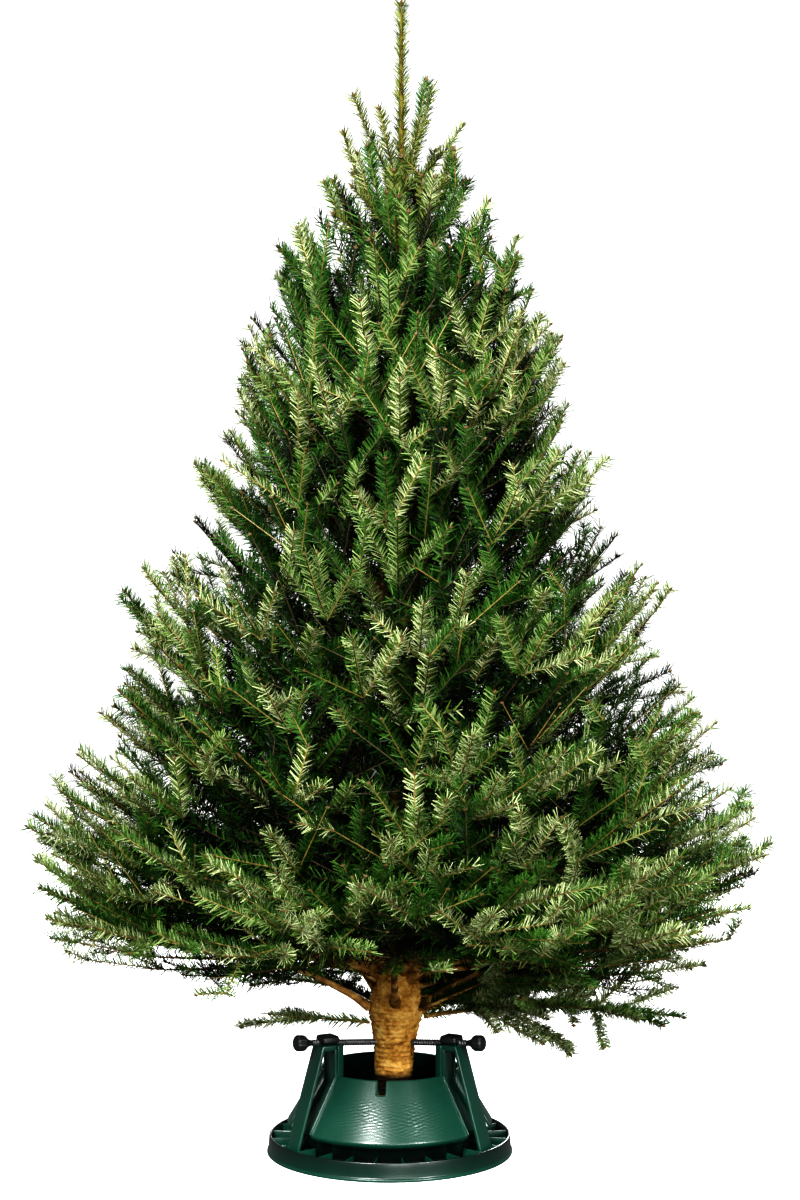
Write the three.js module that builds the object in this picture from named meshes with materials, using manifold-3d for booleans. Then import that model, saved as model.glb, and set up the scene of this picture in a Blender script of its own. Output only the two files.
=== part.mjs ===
// A cut fir tree standing in its green plastic stand, as one group of named solids.
// Millimetres, +Z up. The origin is the centre of the stand's flat underside.
import * as THREE from "three";
import { mergeVertices } from "three/addons/utils/BufferGeometryUtils.js";
import Module from "manifold-3d";

const wasm = await Module();
wasm.setup();

// ---------------------------------------------------------------- driving dimensions

const GAP = 0.4; // clearance between pieces that touch
const TREE_TOP = 1778;

// The trunk leans: its axis starts near the stand's centre and eases over to the right and back.
const TRUNK_FOOT_Z = 13;
const TRUNK_FOOT_X = 1;
const TRUNK_LEAN_X = 17;
const TRUNK_LEAN_Y = 3;
const TRUNK_LEAN_HEIGHT = 300; // height over which most of the lean happens
const TRUNK_TOP = TREE_TOP - 12;
// [height, radius]: a straight foot, the swelling at the first whorl, then a steady taper.
const TRUNK_GIRTH = [
  [TRUNK_FOOT_Z, 29], [60, 28], [120, 29], [165, 32], [195, 37], [215, 42], [235, 42], [262, 34],
  [320, 29], [600, 23.5], [1000, 14.5], [1400, 6.5], [1480, 5], [1700, 3], [TRUNK_TOP, 2],
];
const TRUNK_SIDES = 14;

// The crown: [height, furthest reach of the shoots from the trunk's axis].
const CROWN_REACH = [
  [235, 420], [300, 525], [400, 562], [500, 562], [600, 520], [700, 486], [800, 448], [900, 400],
  [1000, 345], [1100, 300], [1200, 265], [1300, 228], [1400, 182], [1500, 128],
];
// Tiers of foliage lie between sloping cones. height: where the cone meets the crown's outline;
// slope: its rise per unit of radius; sectors, turn: how the tier above the cone is divided.
const TIER_CONES = [
  { height: 318, slope: 0.16, sectors: 5, turn: -56 },
  { height: 440, slope: 0.3, sectors: 5, turn: -20 },
  { height: 610, slope: 0.45, sectors: 5, turn: 12 },
  { height: 790, slope: 0.6, sectors: 4, turn: -35 },
  { height: 975, slope: 0.72, sectors: 4, turn: 8 },
  { height: 1155, slope: 0.82, sectors: 3, turn: 50 },
  { height: 1325, slope: 0.85, sectors: 3, turn: -10 },
  { height: 1512, slope: 0.4 },
];
const TIER_GAP = 4; // foliage kept back from each cone
const SECTOR_GAP_DEG = 1.4; // and from each side plane
const LOBES_PER_TURN = 15; // pointed lobes round one tier
const VALLEY = [0.84, 0.86, 0.82, 0.7]; // reach between lobes as a share of a lobe's, row by row upwards
const UNEVENNESS = 0.05; // how much that share wanders
const TRUNK_CLEARANCE = 6;
const LOWEST_TIER_CLEARANCE = 66; // the lowest tier leaves the first whorl of boughs open

// First whorl: [direction in degrees, height where it leaves the trunk, rise, radius at the trunk]
const WHORL_BOUGHS = [
  [-20, 226, 46, 8.5], [52, 222, 40, 7], [124, 228, 40, 7], [196, 224, 42, 7.5], [268, 236, 34, 7],
];
const BOUGH_SPAN = 52; // from the trunk's skin to the foliage, measured level
const BOUGH_TIP_SHARE = 0.8; // tip radius over foot radius
const BOUGH_FOOT_OFFSET = 0.65; // its slanting foot stands this share of its radius off the trunk

// Two thin branches under the crown and the drooping sprays that they carry.
const LOW_SPRAYS = [
  { side: "right", direction: -6, foot: 208, start: 86, end: 440, high: 222, droop: -34, lift: 26,
    width: 52, thick: 17 },
  { side: "left", direction: 180, foot: 196, start: 74, end: 208, high: 214, droop: -10, lift: -8,
    width: 26, thick: 13 },
];
const LOW_BRANCH_RADIUS = 3.2;

// Upswept shoots of the top whorl: [direction, radius of the tip's place, height of the tip]
const TOP_SHOOTS = [
  [184, 74, 1634], [228, 50, 1606], [318, 52, 1650], [38, 60, 1655], [352, 96, 1586],
];
const TOP_WHORL_Z = 1482;
const SHOOT_RADIUS = 12;
const LEADER_RADIUS = 11.5;
const LEADER_FOOT = 1492;

// The stand
const DISH_RADIUS = 190;
const DISH_THICK = 8;
const RING_HEIGHT = 28;
const RING_LIP = 2; // the disc stands out past the ring by this much
const RING_WALL = 4;
const RIB_COUNT = 24;
const RIB_THICK = 3;
const BOWL_WAIST_RADIUS = 159;
const BOWL_WAIST_Z = 48;
const BOWL_RIM_RADIUS = 108;
const BOWL_RIM_Z = 131;
const BOWL_FOOT_RADIUS = 140;
const BOWL_WALL = 4;
const NOTCH_WIDTH = 12; // a slot in the rim, a little left of the front
const NOTCH_DEPTH = 20;
const NOTCH_DIRECTION = -96;
const STAND_SIDES = 36;
const TOWER_DIRECTIONS = [-30, -150, 90];
const TOWER_CLEAR_DEG = 8; // no rib this close to a tower
const TOWER_TOP = 176;
const TOWER_WIDTH = 35;
const TOWER_FOOT_RADIUS = 174;
const TOWER_HEAD_RADIUS = 126;
const TOWER_INNER_RADIUS = 93;
const TOWER_INNER_LEAN = 3; // the inner plate's foot stands this much further out than its top
const TOWER_INNER_WALL = 4;
const TOWER_WALL = 5;
const TOWER_WEB = 6;
const TOWER_WEB_FOOT = 56;
const LOBE_WIDTH = 46;
const CAP_WIDTH = 30;
const CAP_TOP = 189.5;
const CAP_INNER_RADIUS = 95;
const CAP_OUTER_RADIUS = 123;
const CAP_TAPER = 3; // each end leans in by this much towards the top
const BOLT_RADIUS = 4;
const BOLT_TRUNK_Z = 170.5; // where the bolts press on the trunk
const BOLT_RISE = 0.09; // rise outwards per unit of length
const BOLT_KNOB_START = 134;
const BOLT_END = 163;
const KNOB_RADIUS = 12.5;
const BOLT_SIDES = 12;

// ---------------------------------------------------------------- materials

const bark = new THREE.MeshStandardMaterial({ color: 0x96682a, roughness: 0.9, metalness: 0 });
const needles = new THREE.MeshStandardMaterial({ color: 0x2f4a1c, roughness: 0.7, metalness: 0 });
const greenPlastic = new THREE.MeshStandardMaterial({ color: 0x0f4a36, roughness: 0.35, metalness: 0 });
const blackPlastic = new THREE.MeshStandardMaterial({ color: 0x15191a, roughness: 0.45, metalness: 0 });

// ---------------------------------------------------------------- small helpers

const lerp = THREE.MathUtils.lerp;
const radians = THREE.MathUtils.degToRad;

// The value at x of a curve given as rows [x, value], straight between rows.
function along(rows, x) {
  const after = rows.findIndex(([at]) => at > x);
  if (after === 0) return rows[0][1];
  if (after < 0) return rows[rows.length - 1][1];
  const [x0, v0] = rows[after - 1];
  const [x1, v1] = rows[after];
  return lerp(v0, v1, (x - x0) / (x1 - x0));
}

// The trunk's axis at a height.
function trunkAxis(z) {
  const eased = 1 - Math.exp(-z / TRUNK_LEAN_HEIGHT);
  return new THREE.Vector2(TRUNK_FOOT_X + TRUNK_LEAN_X * eased, TRUNK_LEAN_Y * eased);
}

// A point from its distance and direction off the trunk's axis.
function roundTrunk(radius, direction, z) {
  const axis = trunkAxis(z);
  return new THREE.Vector3(
    axis.x + radius * Math.cos(direction),
    axis.y + radius * Math.sin(direction),
    z,
  );
}

// Moves every vertex of a geometry to move(vertex).
function warped(geometry, move) {
  const position = geometry.getAttribute("position");
  const vertex = new THREE.Vector3();
  for (let i = 0; i < position.count; i++) {
    vertex.fromBufferAttribute(position, i);
    const moved = move(vertex);
    position.setXYZ(i, moved.x, moved.y, moved.z);
  }
  geometry.computeVertexNormals();
  return geometry;
}

// A solid turned about Z from its profile, rows [radius, height].
function turned(profile, sides) {
  const points = profile.map(([radius, z]) => new THREE.Vector2(radius, z));
  return new THREE.LatheGeometry(points, sides).rotateX(Math.PI / 2);
}

// A flat outline in the plane of radius and height, given a thickness across the X axis.
function radialPlate(outline, thickness) {
  const shape = new THREE.Shape(outline.map(([radius, z]) => new THREE.Vector2(radius, z)));
  return new THREE.ExtrudeGeometry(shape, { depth: thickness, bevelEnabled: false })
    .translate(0, 0, -thickness / 2)
    .rotateX(Math.PI / 2);
}

function toSolid(geometry) {
  const bare = geometry.clone();
  bare.deleteAttribute("normal");
  bare.deleteAttribute("uv");
  const joined = mergeVertices(bare, 1e-3);
  return new wasm.Manifold(
    new wasm.Mesh({
      numProp: 3,
      vertProperties: joined.getAttribute("position").array,
      triVerts: new Uint32Array(joined.index.array),
    }),
  );
}

function toGeometry(solid) {
  const mesh = solid.getMesh();
  const geometry = new THREE.BufferGeometry();
  geometry.setAttribute("position", new THREE.BufferAttribute(mesh.vertProperties, 3));
  geometry.setIndex(new THREE.BufferAttribute(mesh.triVerts, 1));
  geometry.computeVertexNormals();
  return geometry;
}

function joined(geometries) {
  return geometries.map(toSolid).reduce((whole, next) => whole.add(next));
}

function piece(name, geometry, material) {
  const mesh = new THREE.Mesh(geometry, material);
  mesh.name = name;
  return mesh;
}

// ---------------------------------------------------------------- the plant

function trunk() {
  const skin = TRUNK_GIRTH.map(([z, radius]) => [radius, z]);
  const profile = [[0, TRUNK_FOOT_Z], ...skin, [0, TRUNK_TOP]];
  const geometry = warped(turned(profile, TRUNK_SIDES), (p) => {
    const axis = trunkAxis(p.z);
    return new THREE.Vector3(p.x + axis.x, p.y + axis.y, p.z);
  });
  return piece("trunk", geometry, bark);
}

// A round limb whose radius follows girth, rows [share of length, radius], on a curve that
// stays in the upright plane through the trunk's axis; wide and thick stretch its section.
function limb(curve, direction, girth, sides, wide = 1, thick = 1) {
  const skin = girth.map(([share, radius]) => [radius, share]);
  const profile = [[0, girth[0][0]], ...skin, [0, girth[girth.length - 1][0]]];
  const side = new THREE.Vector3(-Math.sin(direction), Math.cos(direction), 0);
  return warped(turned(profile, sides), (p) => {
    const share = THREE.MathUtils.clamp(p.z, 0, 1);
    const tangent = curve.getTangent(share);
    const up = tangent.clone().cross(side);
    return curve.getPoint(share).addScaledVector(side, p.x * wide).addScaledVector(up, p.y * thick);
  });
}

function whorlBough([degrees, z, rise, radius], index) {
  const direction = radians(degrees);
  const start = along(TRUNK_GIRTH, z) + GAP + radius * BOUGH_FOOT_OFFSET;
  const end = start + BOUGH_SPAN;
  const curve = new THREE.QuadraticBezierCurve3(
    roundTrunk(start, direction, z),
    roundTrunk(lerp(start, end, 0.6), direction, z + rise * 0.45),
    roundTrunk(end, direction, z + rise),
  );
  const girth = [[0, radius], [0.25, radius * 0.95], [0.6, radius * 0.88], [1, radius * BOUGH_TIP_SHARE]];
  return piece(`bough_${index + 1}`, limb(curve, direction, girth, 9), bark);
}

function lowBranch({ side, direction, foot, start, high }) {
  const angle = radians(direction);
  const skin = along(TRUNK_GIRTH, foot) + LOW_BRANCH_RADIUS;
  const curve = new THREE.QuadraticBezierCurve3(
    roundTrunk(skin, angle, foot),
    roundTrunk(lerp(skin, start, 0.5), angle, lerp(foot, high, 0.6)),
    roundTrunk(start - 3, angle, high),
  );
  const r = LOW_BRANCH_RADIUS;
  return piece(`low_branch_${side}`, limb(curve, angle, [[0, r], [0.5, r * 0.9], [1, r * 0.8]], 7), bark);
}

function lowSpray({ side, direction, start, end, high, droop, lift, width, thick }) {
  const angle = radians(direction);
  const curve = new THREE.QuadraticBezierCurve3(
    roundTrunk(start, angle, high),
    roundTrunk(lerp(start, end, 0.45), angle, high + droop * 1.6),
    roundTrunk(end, angle, high + droop + lift),
  );
  const girth = [[0, 0.15], [0.12, 0.5], [0.3, 0.85], [0.45, 0.72], [0.6, 1], [0.78, 0.66], [1, 0.12]];
  return piece(`foliage_low_${side}`, limb(curve, angle, girth, 12, width, thick), needles);
}

function coneHeight(cone, radius) {
  return cone.height + cone.slope * (radius - along(CROWN_REACH, cone.height));
}

// How far a mass reaches: lobes stand out at every other column of its grid, on one of the two
// middle rows, and the rest lies back by an uneven share.
function lobedReach(tier, sector, column, row, height) {
  const lobeRow = 1 + (((column >> 1) + tier + sector) % 2);
  const isTip = column % 2 === 1 && row === lobeRow;
  const wave = Math.sin(2.3 * tier + 3.7 * sector + 1.9 * column + 2.9 * row);
  const share = isTip ? 1 : VALLEY[row] + UNEVENNESS * wave;
  return share * along(CROWN_REACH, height);
}

// One mass: a block mapped into the space between two cones, two upright planes and the trunk.
function foliageMass(tier, sector) {
  const below = TIER_CONES[tier];
  const above = TIER_CONES[tier + 1];
  const span = 360 / below.sectors;
  const from = radians(below.turn + sector * span + SECTOR_GAP_DEG);
  const to = radians(below.turn + (sector + 1) * span - SECTOR_GAP_DEG);
  const columns = 2 * Math.round(LOBES_PER_TURN / below.sectors);
  const rows = VALLEY.length - 1;
  const block = new THREE.BoxGeometry(1, 1, 1, 2, columns, rows);
  const geometry = warped(block, (p) => {
    const column = Math.round((p.y + 0.5) * columns);
    const row = Math.round((p.z + 0.5) * rows);
    const outline = lerp(below.height, above.height, row / rows);
    const reach = lobedReach(tier, sector, column, row, outline);
    const clearance = tier === 0 ? LOWEST_TIER_CLEARANCE : TRUNK_CLEARANCE;
    const inner = along(TRUNK_GIRTH, coneHeight(below, 0)) + clearance;
    const radius = lerp(inner, reach, p.x + 0.5);
    const low = coneHeight(below, radius) + TIER_GAP;
    const high = coneHeight(above, radius) - TIER_GAP;
    return roundTrunk(radius, lerp(from, to, p.y + 0.5), lerp(low, high, p.z + 0.5));
  });
  return piece(`foliage_tier${tier + 1}_${sector + 1}`, geometry, needles);
}

function topShoot([degrees, reach, tipZ], index) {
  const direction = radians(degrees);
  const start = along(TRUNK_GIRTH, TOP_WHORL_Z) + LEADER_RADIUS;
  const curve = new THREE.QuadraticBezierCurve3(
    roundTrunk(start, direction, TOP_WHORL_Z),
    roundTrunk(lerp(start, reach, 0.6), direction, lerp(TOP_WHORL_Z, tipZ, 0.4)),
    roundTrunk(reach, direction, tipZ),
  );
  const girth = [[0, 0.2], [0.15, 0.55], [0.4, 0.95], [0.75, 1], [0.93, 0.75], [1, 0.2]];
  const geometry = limb(curve, direction, girth, 8, SHOOT_RADIUS, SHOOT_RADIUS);
  return piece(`foliage_top_shoot_${index + 1}`, geometry, needles);
}

// The needles pressed round the leader: a sleeve open at its foot, closed over the trunk's tip.
function leaderSleeve() {
  const hollow = TRUNK_TOP + GAP;
  const inner = along(TRUNK_GIRTH, LEADER_FOOT) + GAP;
  const profile = [
    [inner, LEADER_FOOT], [LEADER_RADIUS * 0.8, LEADER_FOOT], [LEADER_RADIUS, LEADER_FOOT + 60],
    [LEADER_RADIUS * 0.95, TREE_TOP - 60], [LEADER_RADIUS * 0.6, TREE_TOP - 12], [0, TREE_TOP],
    [0, hollow], [2 + GAP, hollow], [3.3 + GAP, 1690], [inner, LEADER_FOOT],
  ];
  const geometry = warped(turned(profile, 10), (p) => {
    const axis = trunkAxis(p.z);
    return new THREE.Vector3(p.x + axis.x, p.y + axis.y, p.z);
  });
  return piece("foliage_leader", geometry, needles);
}

// ---------------------------------------------------------------- the stand

// The flat disc that the stand rests on.
function dish() {
  const profile = [[0, 0], [DISH_RADIUS, 0], [DISH_RADIUS, DISH_THICK], [0, DISH_THICK]];
  return piece("stand_dish", turned(profile, STAND_SIDES), greenPlastic);
}

// The upright ring round the disc, with ribs that run inwards to the bowl between the towers.
function ring() {
  const outer = DISH_RADIUS - RING_LIP;
  const inner = outer - RING_WALL;
  const foot = DISH_THICK + GAP;
  const wall = turned(
    [[inner, foot], [outer, foot], [outer, RING_HEIGHT], [inner, RING_HEIGHT], [inner, foot]],
    STAND_SIDES,
  );
  const ribStart = BOWL_WAIST_RADIUS + 2;
  const rib = radialPlate(
    [[ribStart, foot], [inner + 1, foot], [inner + 1, RING_HEIGHT - 5], [ribStart, RING_HEIGHT - 9]],
    RIB_THICK,
  );
  const nearest = Math.cos(radians(TOWER_CLEAR_DEG));
  const turns = Array.from({ length: RIB_COUNT }, (_, i) => ((i + 0.5) * 2 * Math.PI) / RIB_COUNT);
  const free = turns.filter((turn) =>
    TOWER_DIRECTIONS.every((degrees) => Math.cos(turn - radians(degrees)) < nearest),
  );
  const ribs = free.map((turn) => rib.clone().rotateZ(turn));
  return piece("stand_ring", toGeometry(joined([wall, ...ribs])), greenPlastic);
}

// The bowl's outline from its foot to its rim, rows [radius, height], grown outwards by margin.
function bowlOutline(margin) {
  const foot = DISH_THICK + GAP;
  return [
    [BOWL_FOOT_RADIUS + margin, foot], [BOWL_WAIST_RADIUS - 6 + margin, foot + 16],
    [BOWL_WAIST_RADIUS - 1 + margin, BOWL_WAIST_Z - 9], [BOWL_WAIST_RADIUS + margin, BOWL_WAIST_Z],
    [BOWL_RIM_RADIUS + margin, BOWL_RIM_Z],
  ];
}

// The water bowl: a flat floor, a rounded tuck under the waist and a wall that leans in to the rim.
function bowl() {
  const foot = DISH_THICK + GAP;
  const floor = foot + BOWL_WALL;
  const across = BOWL_WALL * 1.2;
  const profile = [
    [0, foot], ...bowlOutline(0), [BOWL_RIM_RADIUS - across, BOWL_RIM_Z],
    [BOWL_WAIST_RADIUS - across, BOWL_WAIST_Z], [BOWL_WAIST_RADIUS - 6 - across, foot + 19],
    [BOWL_FOOT_RADIUS - 3, floor], [0, floor],
  ];
  const notch = new THREE.BoxGeometry(30, NOTCH_WIDTH, 2 * NOTCH_DEPTH)
    .translate(BOWL_RIM_RADIUS, 0, BOWL_RIM_Z)
    .rotateZ(radians(NOTCH_DIRECTION));
  const solid = toSolid(turned(profile, STAND_SIDES)).subtract(toSolid(notch));
  return piece("stand_bowl", toGeometry(solid), greenPlastic);
}

// The line of a bolt: from the trunk outwards and a little up, along +X before it is turned.
function boltHeight(radius) {
  return BOLT_TRUNK_Z + BOLT_RISE * (radius - along(TRUNK_GIRTH, BOLT_TRUNK_Z));
}

function boltBore() {
  const rod = new THREE.CylinderGeometry(BOLT_RADIUS + GAP, BOLT_RADIUS + GAP, 120, BOLT_SIDES);
  return rod
    .rotateZ(-Math.PI / 2)
    .rotateY(-Math.atan(BOLT_RISE))
    .translate(TOWER_HEAD_RADIUS - 15, 0, boltHeight(TOWER_HEAD_RADIUS - 15));
}

// A tower: a leaning outer plate, an upright inner plate over the rim and a web between them.
function tower(degrees, index) {
  const foot = DISH_THICK + GAP;
  const overRim = BOWL_RIM_Z + GAP;
  const outerPlate = radialPlate(
    [
      [TOWER_FOOT_RADIUS - TOWER_WALL, foot], [TOWER_FOOT_RADIUS, foot],
      [TOWER_HEAD_RADIUS, TOWER_TOP], [TOWER_HEAD_RADIUS - TOWER_WALL, TOWER_TOP],
    ],
    TOWER_WIDTH,
  );
  const web = radialPlate(
    [
      [BOWL_RIM_RADIUS, TOWER_WEB_FOOT], [BOWL_WAIST_RADIUS + 1, TOWER_WEB_FOOT],
      [TOWER_HEAD_RADIUS - 1, TOWER_TOP - 1], [TOWER_INNER_RADIUS + 1, TOWER_TOP - 1],
      [TOWER_INNER_RADIUS + TOWER_INNER_LEAN + 1, overRim],
    ],
    TOWER_WEB,
  );
  const innerPlate = radialPlate(
    [
      [TOWER_INNER_RADIUS + TOWER_INNER_LEAN, overRim],
      [TOWER_INNER_RADIUS + TOWER_INNER_LEAN + TOWER_INNER_WALL, overRim],
      [TOWER_INNER_RADIUS + TOWER_INNER_WALL, TOWER_TOP], [TOWER_INNER_RADIUS, TOWER_TOP],
    ],
    LOBE_WIDTH,
  );
  const bowlSection = [[0, 0], ...bowlOutline(0.8), [BOWL_RIM_RADIUS, overRim], [0, overRim]];
  const bowlSpace = turned(bowlSection, STAND_SIDES);
  const solid = joined([outerPlate, web, innerPlate])
    .subtract(toSolid(bowlSpace.rotateZ(-radians(degrees))))
    .subtract(toSolid(boltBore()));
  return piece(`stand_tower_${index + 1}`, toGeometry(solid).rotateZ(radians(degrees)), greenPlastic);
}

// The black block on a tower's head that holds the bolt's nut.
function cap(degrees, index) {
  const block = radialPlate(
    [
      [CAP_INNER_RADIUS, TOWER_TOP + GAP], [CAP_OUTER_RADIUS, TOWER_TOP + GAP],
      [CAP_OUTER_RADIUS - CAP_TAPER, CAP_TOP], [CAP_INNER_RADIUS + CAP_TAPER, CAP_TOP],
    ],
    CAP_WIDTH,
  );
  const solid = toSolid(block).subtract(toSolid(boltBore()));
  return piece(`stand_cap_${index + 1}`, toGeometry(solid).rotateZ(radians(degrees)), blackPlastic);
}

// A bolt: a rod that starts at the trunk's skin, a waist and a round knob, turned about its line.
function bolt(degrees, index) {
  const direction = radians(degrees);
  const axis = trunkAxis(BOLT_TRUNK_Z);
  const ahead = axis.x * Math.cos(direction) + axis.y * Math.sin(direction);
  const aside = axis.y * Math.cos(direction) - axis.x * Math.sin(direction);
  const skin = along(TRUNK_GIRTH, BOLT_TRUNK_Z + BOLT_RADIUS) + 2 * GAP;
  const tip = ahead + Math.sqrt(skin * skin - aside * aside);
  const profile = [
    [0, tip], [BOLT_RADIUS, tip], [BOLT_RADIUS, BOLT_KNOB_START], [7, BOLT_KNOB_START + 9],
    [KNOB_RADIUS, BOLT_KNOB_START + 16], [KNOB_RADIUS, BOLT_END - 3], [KNOB_RADIUS - 3, BOLT_END],
    [0, BOLT_END],
  ];
  const geometry = turned(profile, BOLT_SIDES)
    .rotateY(Math.PI / 2)
    .rotateY(-Math.atan(BOLT_RISE))
    .translate(0, 0, boltHeight(0))
    .rotateZ(direction);
  return piece(`stand_bolt_${index + 1}`, geometry, blackPlastic);
}

// ---------------------------------------------------------------- assembly

const tree = new THREE.Group();

const stand = new THREE.Group();
stand.add(dish(), ring(), bowl());
TOWER_DIRECTIONS.forEach((degrees, index) => {
  stand.add(tower(degrees, index), cap(degrees, index), bolt(degrees, index));
});
tree.add(stand);

tree.add(trunk());
WHORL_BOUGHS.forEach((bough, index) => tree.add(whorlBough(bough, index)));
LOW_SPRAYS.forEach((spray) => tree.add(lowBranch(spray), lowSpray(spray)));

TIER_CONES.slice(0, -1).forEach((cone, tier) => {
  for (let sector = 0; sector < cone.sectors; sector++) {
    tree.add(foliageMass(tier, sector));
  }
});
TOP_SHOOTS.forEach((shoot, index) => tree.add(topShoot(shoot, index)));
tree.add(leaderSleeve());

export default tree;
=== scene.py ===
"""A cut fir tree in its green plastic stand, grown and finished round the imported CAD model.

Metres, +Z up. The trunk, the boughs' feet and the stand take their places from the CAD nodes.
The crown grows by a seeded rule: boughs rise from the trunk to the crown's outline, bear pairs of
side shoots year by year, and every young shoot bears needles, a twig and an end bud.
"""
import math

import bpy
import numpy as np
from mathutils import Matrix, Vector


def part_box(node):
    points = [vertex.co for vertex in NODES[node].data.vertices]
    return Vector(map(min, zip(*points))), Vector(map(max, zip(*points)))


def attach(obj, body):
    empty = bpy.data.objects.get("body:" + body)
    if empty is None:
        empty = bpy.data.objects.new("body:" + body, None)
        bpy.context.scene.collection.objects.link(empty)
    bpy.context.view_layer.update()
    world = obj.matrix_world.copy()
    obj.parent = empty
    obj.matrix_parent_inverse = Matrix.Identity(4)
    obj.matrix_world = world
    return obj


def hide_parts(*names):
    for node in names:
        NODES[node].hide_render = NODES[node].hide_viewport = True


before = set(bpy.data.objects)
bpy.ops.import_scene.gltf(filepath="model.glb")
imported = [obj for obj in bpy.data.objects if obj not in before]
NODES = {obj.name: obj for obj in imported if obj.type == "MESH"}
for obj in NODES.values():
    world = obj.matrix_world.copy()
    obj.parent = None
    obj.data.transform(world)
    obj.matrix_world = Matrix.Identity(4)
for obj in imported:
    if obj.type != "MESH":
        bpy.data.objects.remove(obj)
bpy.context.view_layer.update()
RNG = np.random.default_rng(20)
TAU = 2 * np.pi
MM = 0.001

FOLIAGE_NODES = sorted((name for name in NODES if name.startswith("foliage")),
                       key=lambda name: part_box(name)[0].z)
WHORL_BOUGHS = sorted(name for name in NODES if name.startswith("bough"))
TOP_SHOOTS = sorted(name for name in NODES if name.startswith("foliage_top_shoot"))
TOWERS = sorted(name for name in NODES if name.startswith("stand_tower"))


# ------------------------------------------------------------------ camera and light

CAMERA_DISTANCE = 3.31
CAMERA_HEIGHT = 0.853
CAMERA_ASIDE = 0.016
LENS = 64.0
SENSOR_WIDTH = 36.0


def set_camera():
    """A level camera in front of the tree."""
    camera = bpy.data.objects.new("camera", bpy.data.cameras.new("camera"))
    bpy.context.scene.collection.objects.link(camera)
    camera.location = (CAMERA_ASIDE, -CAMERA_DISTANCE, CAMERA_HEIGHT)
    camera.rotation_euler = (math.radians(90), 0, 0)
    camera.data.lens = LENS
    camera.data.sensor_width = SENSOR_WIDTH
    bpy.context.scene.camera = camera


# Each light's place, the point it faces, its width and height, and its power.
LIGHTS = {
    "key": ((-1.4, -3.5, 2.7), (0, 0, 0.75), (1.0, 1.4), 390),
    "fill": ((2.1, -3.0, 1.6), (0, 0, 0.6), (0.7, 1.8), 150),
    "low": ((0.5, -3.2, 0.35), (0, 0, 0.3), (1.2, 0.5), 22),
    "behind": ((0.9, 3.6, 2.0), (0, 0, 0.75), (1.6, 1.6), 150),
}


def area_light(name, place, target, size, power):
    """A rectangular light at place, its sides level, turned to face target."""
    data = bpy.data.lights.new(name, "AREA")
    data.shape = "RECTANGLE"
    data.size, data.size_y = size
    data.energy = power
    light = bpy.data.objects.new(name, data)
    bpy.context.scene.collection.objects.link(light)
    light.location = place
    away = np.array(place) - np.array(target)
    flat = math.hypot(away[0], away[1])
    light.rotation_euler = (math.atan2(flat, away[2]), 0, math.atan2(away[1], away[0]) + math.pi / 2)


SURROUND_SEEN = 1.0
SURROUND_LIGHT = 0.14


def set_light():
    """A white surround that lights the scene only weakly, a large key light from the upper left and a
    weaker fill from the right, a small one that reaches in under the crown, and one behind the tree."""
    world = bpy.data.worlds.new("studio")
    world.use_nodes = True
    nodes, links = world.node_tree.nodes, world.node_tree.links
    path = nodes.new("ShaderNodeLightPath")
    strength = nodes.new("ShaderNodeMapRange")
    strength.inputs["To Min"].default_value = SURROUND_LIGHT
    strength.inputs["To Max"].default_value = SURROUND_SEEN
    links.new(path.outputs["Is Camera Ray"], strength.inputs["Value"])
    nodes["Background"].inputs["Color"].default_value = (1, 1, 1, 1)
    links.new(strength.outputs["Result"], nodes["Background"].inputs["Strength"])
    bpy.context.scene.world = world
    for name, settings in LIGHTS.items():
        area_light(name, *settings)
    bpy.context.scene.view_settings.view_transform = "Standard"
    bpy.context.scene.view_settings.look = "High Contrast"


# ------------------------------------------------------------------ meshes from arrays


def closed_tube(points):
    """Vertices and triangles of a tube: points[row, column] are its rings, each joined to the next,
    and each end is closed by a fan round the ring's centre."""
    rows, columns = points.shape[:2]
    index = np.arange(rows * columns).reshape(rows, columns)
    low, high = index[:-1], index[1:]
    low_next, high_next = np.roll(low, -1, 1), np.roll(high, -1, 1)
    foot, top = rows * columns, rows * columns + 1
    first, last = index[0], index[-1]
    faces = np.concatenate([
        np.stack([low, low_next, high_next], -1).reshape(-1, 3),
        np.stack([low, high_next, high], -1).reshape(-1, 3),
        np.stack([np.full(columns, foot), np.roll(first, -1), first], -1),
        np.stack([np.full(columns, top), last, np.roll(last, -1)], -1),
    ])
    ends = np.stack([points[0].mean(0), points[-1].mean(0)])
    return np.concatenate([points.reshape(-1, 3), ends]), faces


def joined(parts):
    """Several (vertices, faces) as one."""
    counts = np.cumsum([0] + [len(vertices) for vertices, _ in parts[:-1]])
    vertices = np.concatenate([vertices for vertices, _ in parts])
    return vertices, np.concatenate([faces + start for (_, faces), start in zip(parts, counts)])


def turned_about_z(part, angle):
    """A part turned anticlockwise about the upright axis."""
    vertices, faces = part
    cosine, sine = math.cos(angle), math.sin(angle)
    return vertices @ np.array([[cosine, sine, 0], [-sine, cosine, 0], [0, 0, 1]]), faces


def piece(name, part, finishes, replaced, index=None, smooth=True):
    """An object from (vertices, triangles), riding on the root body in place of the replaced nodes.
    index says which of the finishes each triangle has."""
    vertices, faces = part
    mesh = bpy.data.meshes.new(name)
    mesh.vertices.add(len(vertices))
    mesh.vertices.foreach_set("co", vertices.astype(np.float32).ravel())
    mesh.loops.add(faces.size)
    mesh.loops.foreach_set("vertex_index", faces.astype(np.int32).ravel())
    mesh.polygons.add(len(faces))
    mesh.polygons.foreach_set("loop_start", np.arange(0, faces.size, 3, dtype=np.int32))
    for finish in finishes:
        mesh.materials.append(finish)
    if index is not None:
        mesh.polygons.foreach_set("material_index", index.astype(np.int32))
    mesh.polygons.foreach_set("use_smooth", np.full(len(faces), smooth))
    mesh.update(calc_edges=True)
    made = bpy.data.objects.new(name, mesh)
    bpy.context.scene.collection.objects.link(made)
    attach(made, "root")
    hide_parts(*replaced)
    return made


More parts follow.
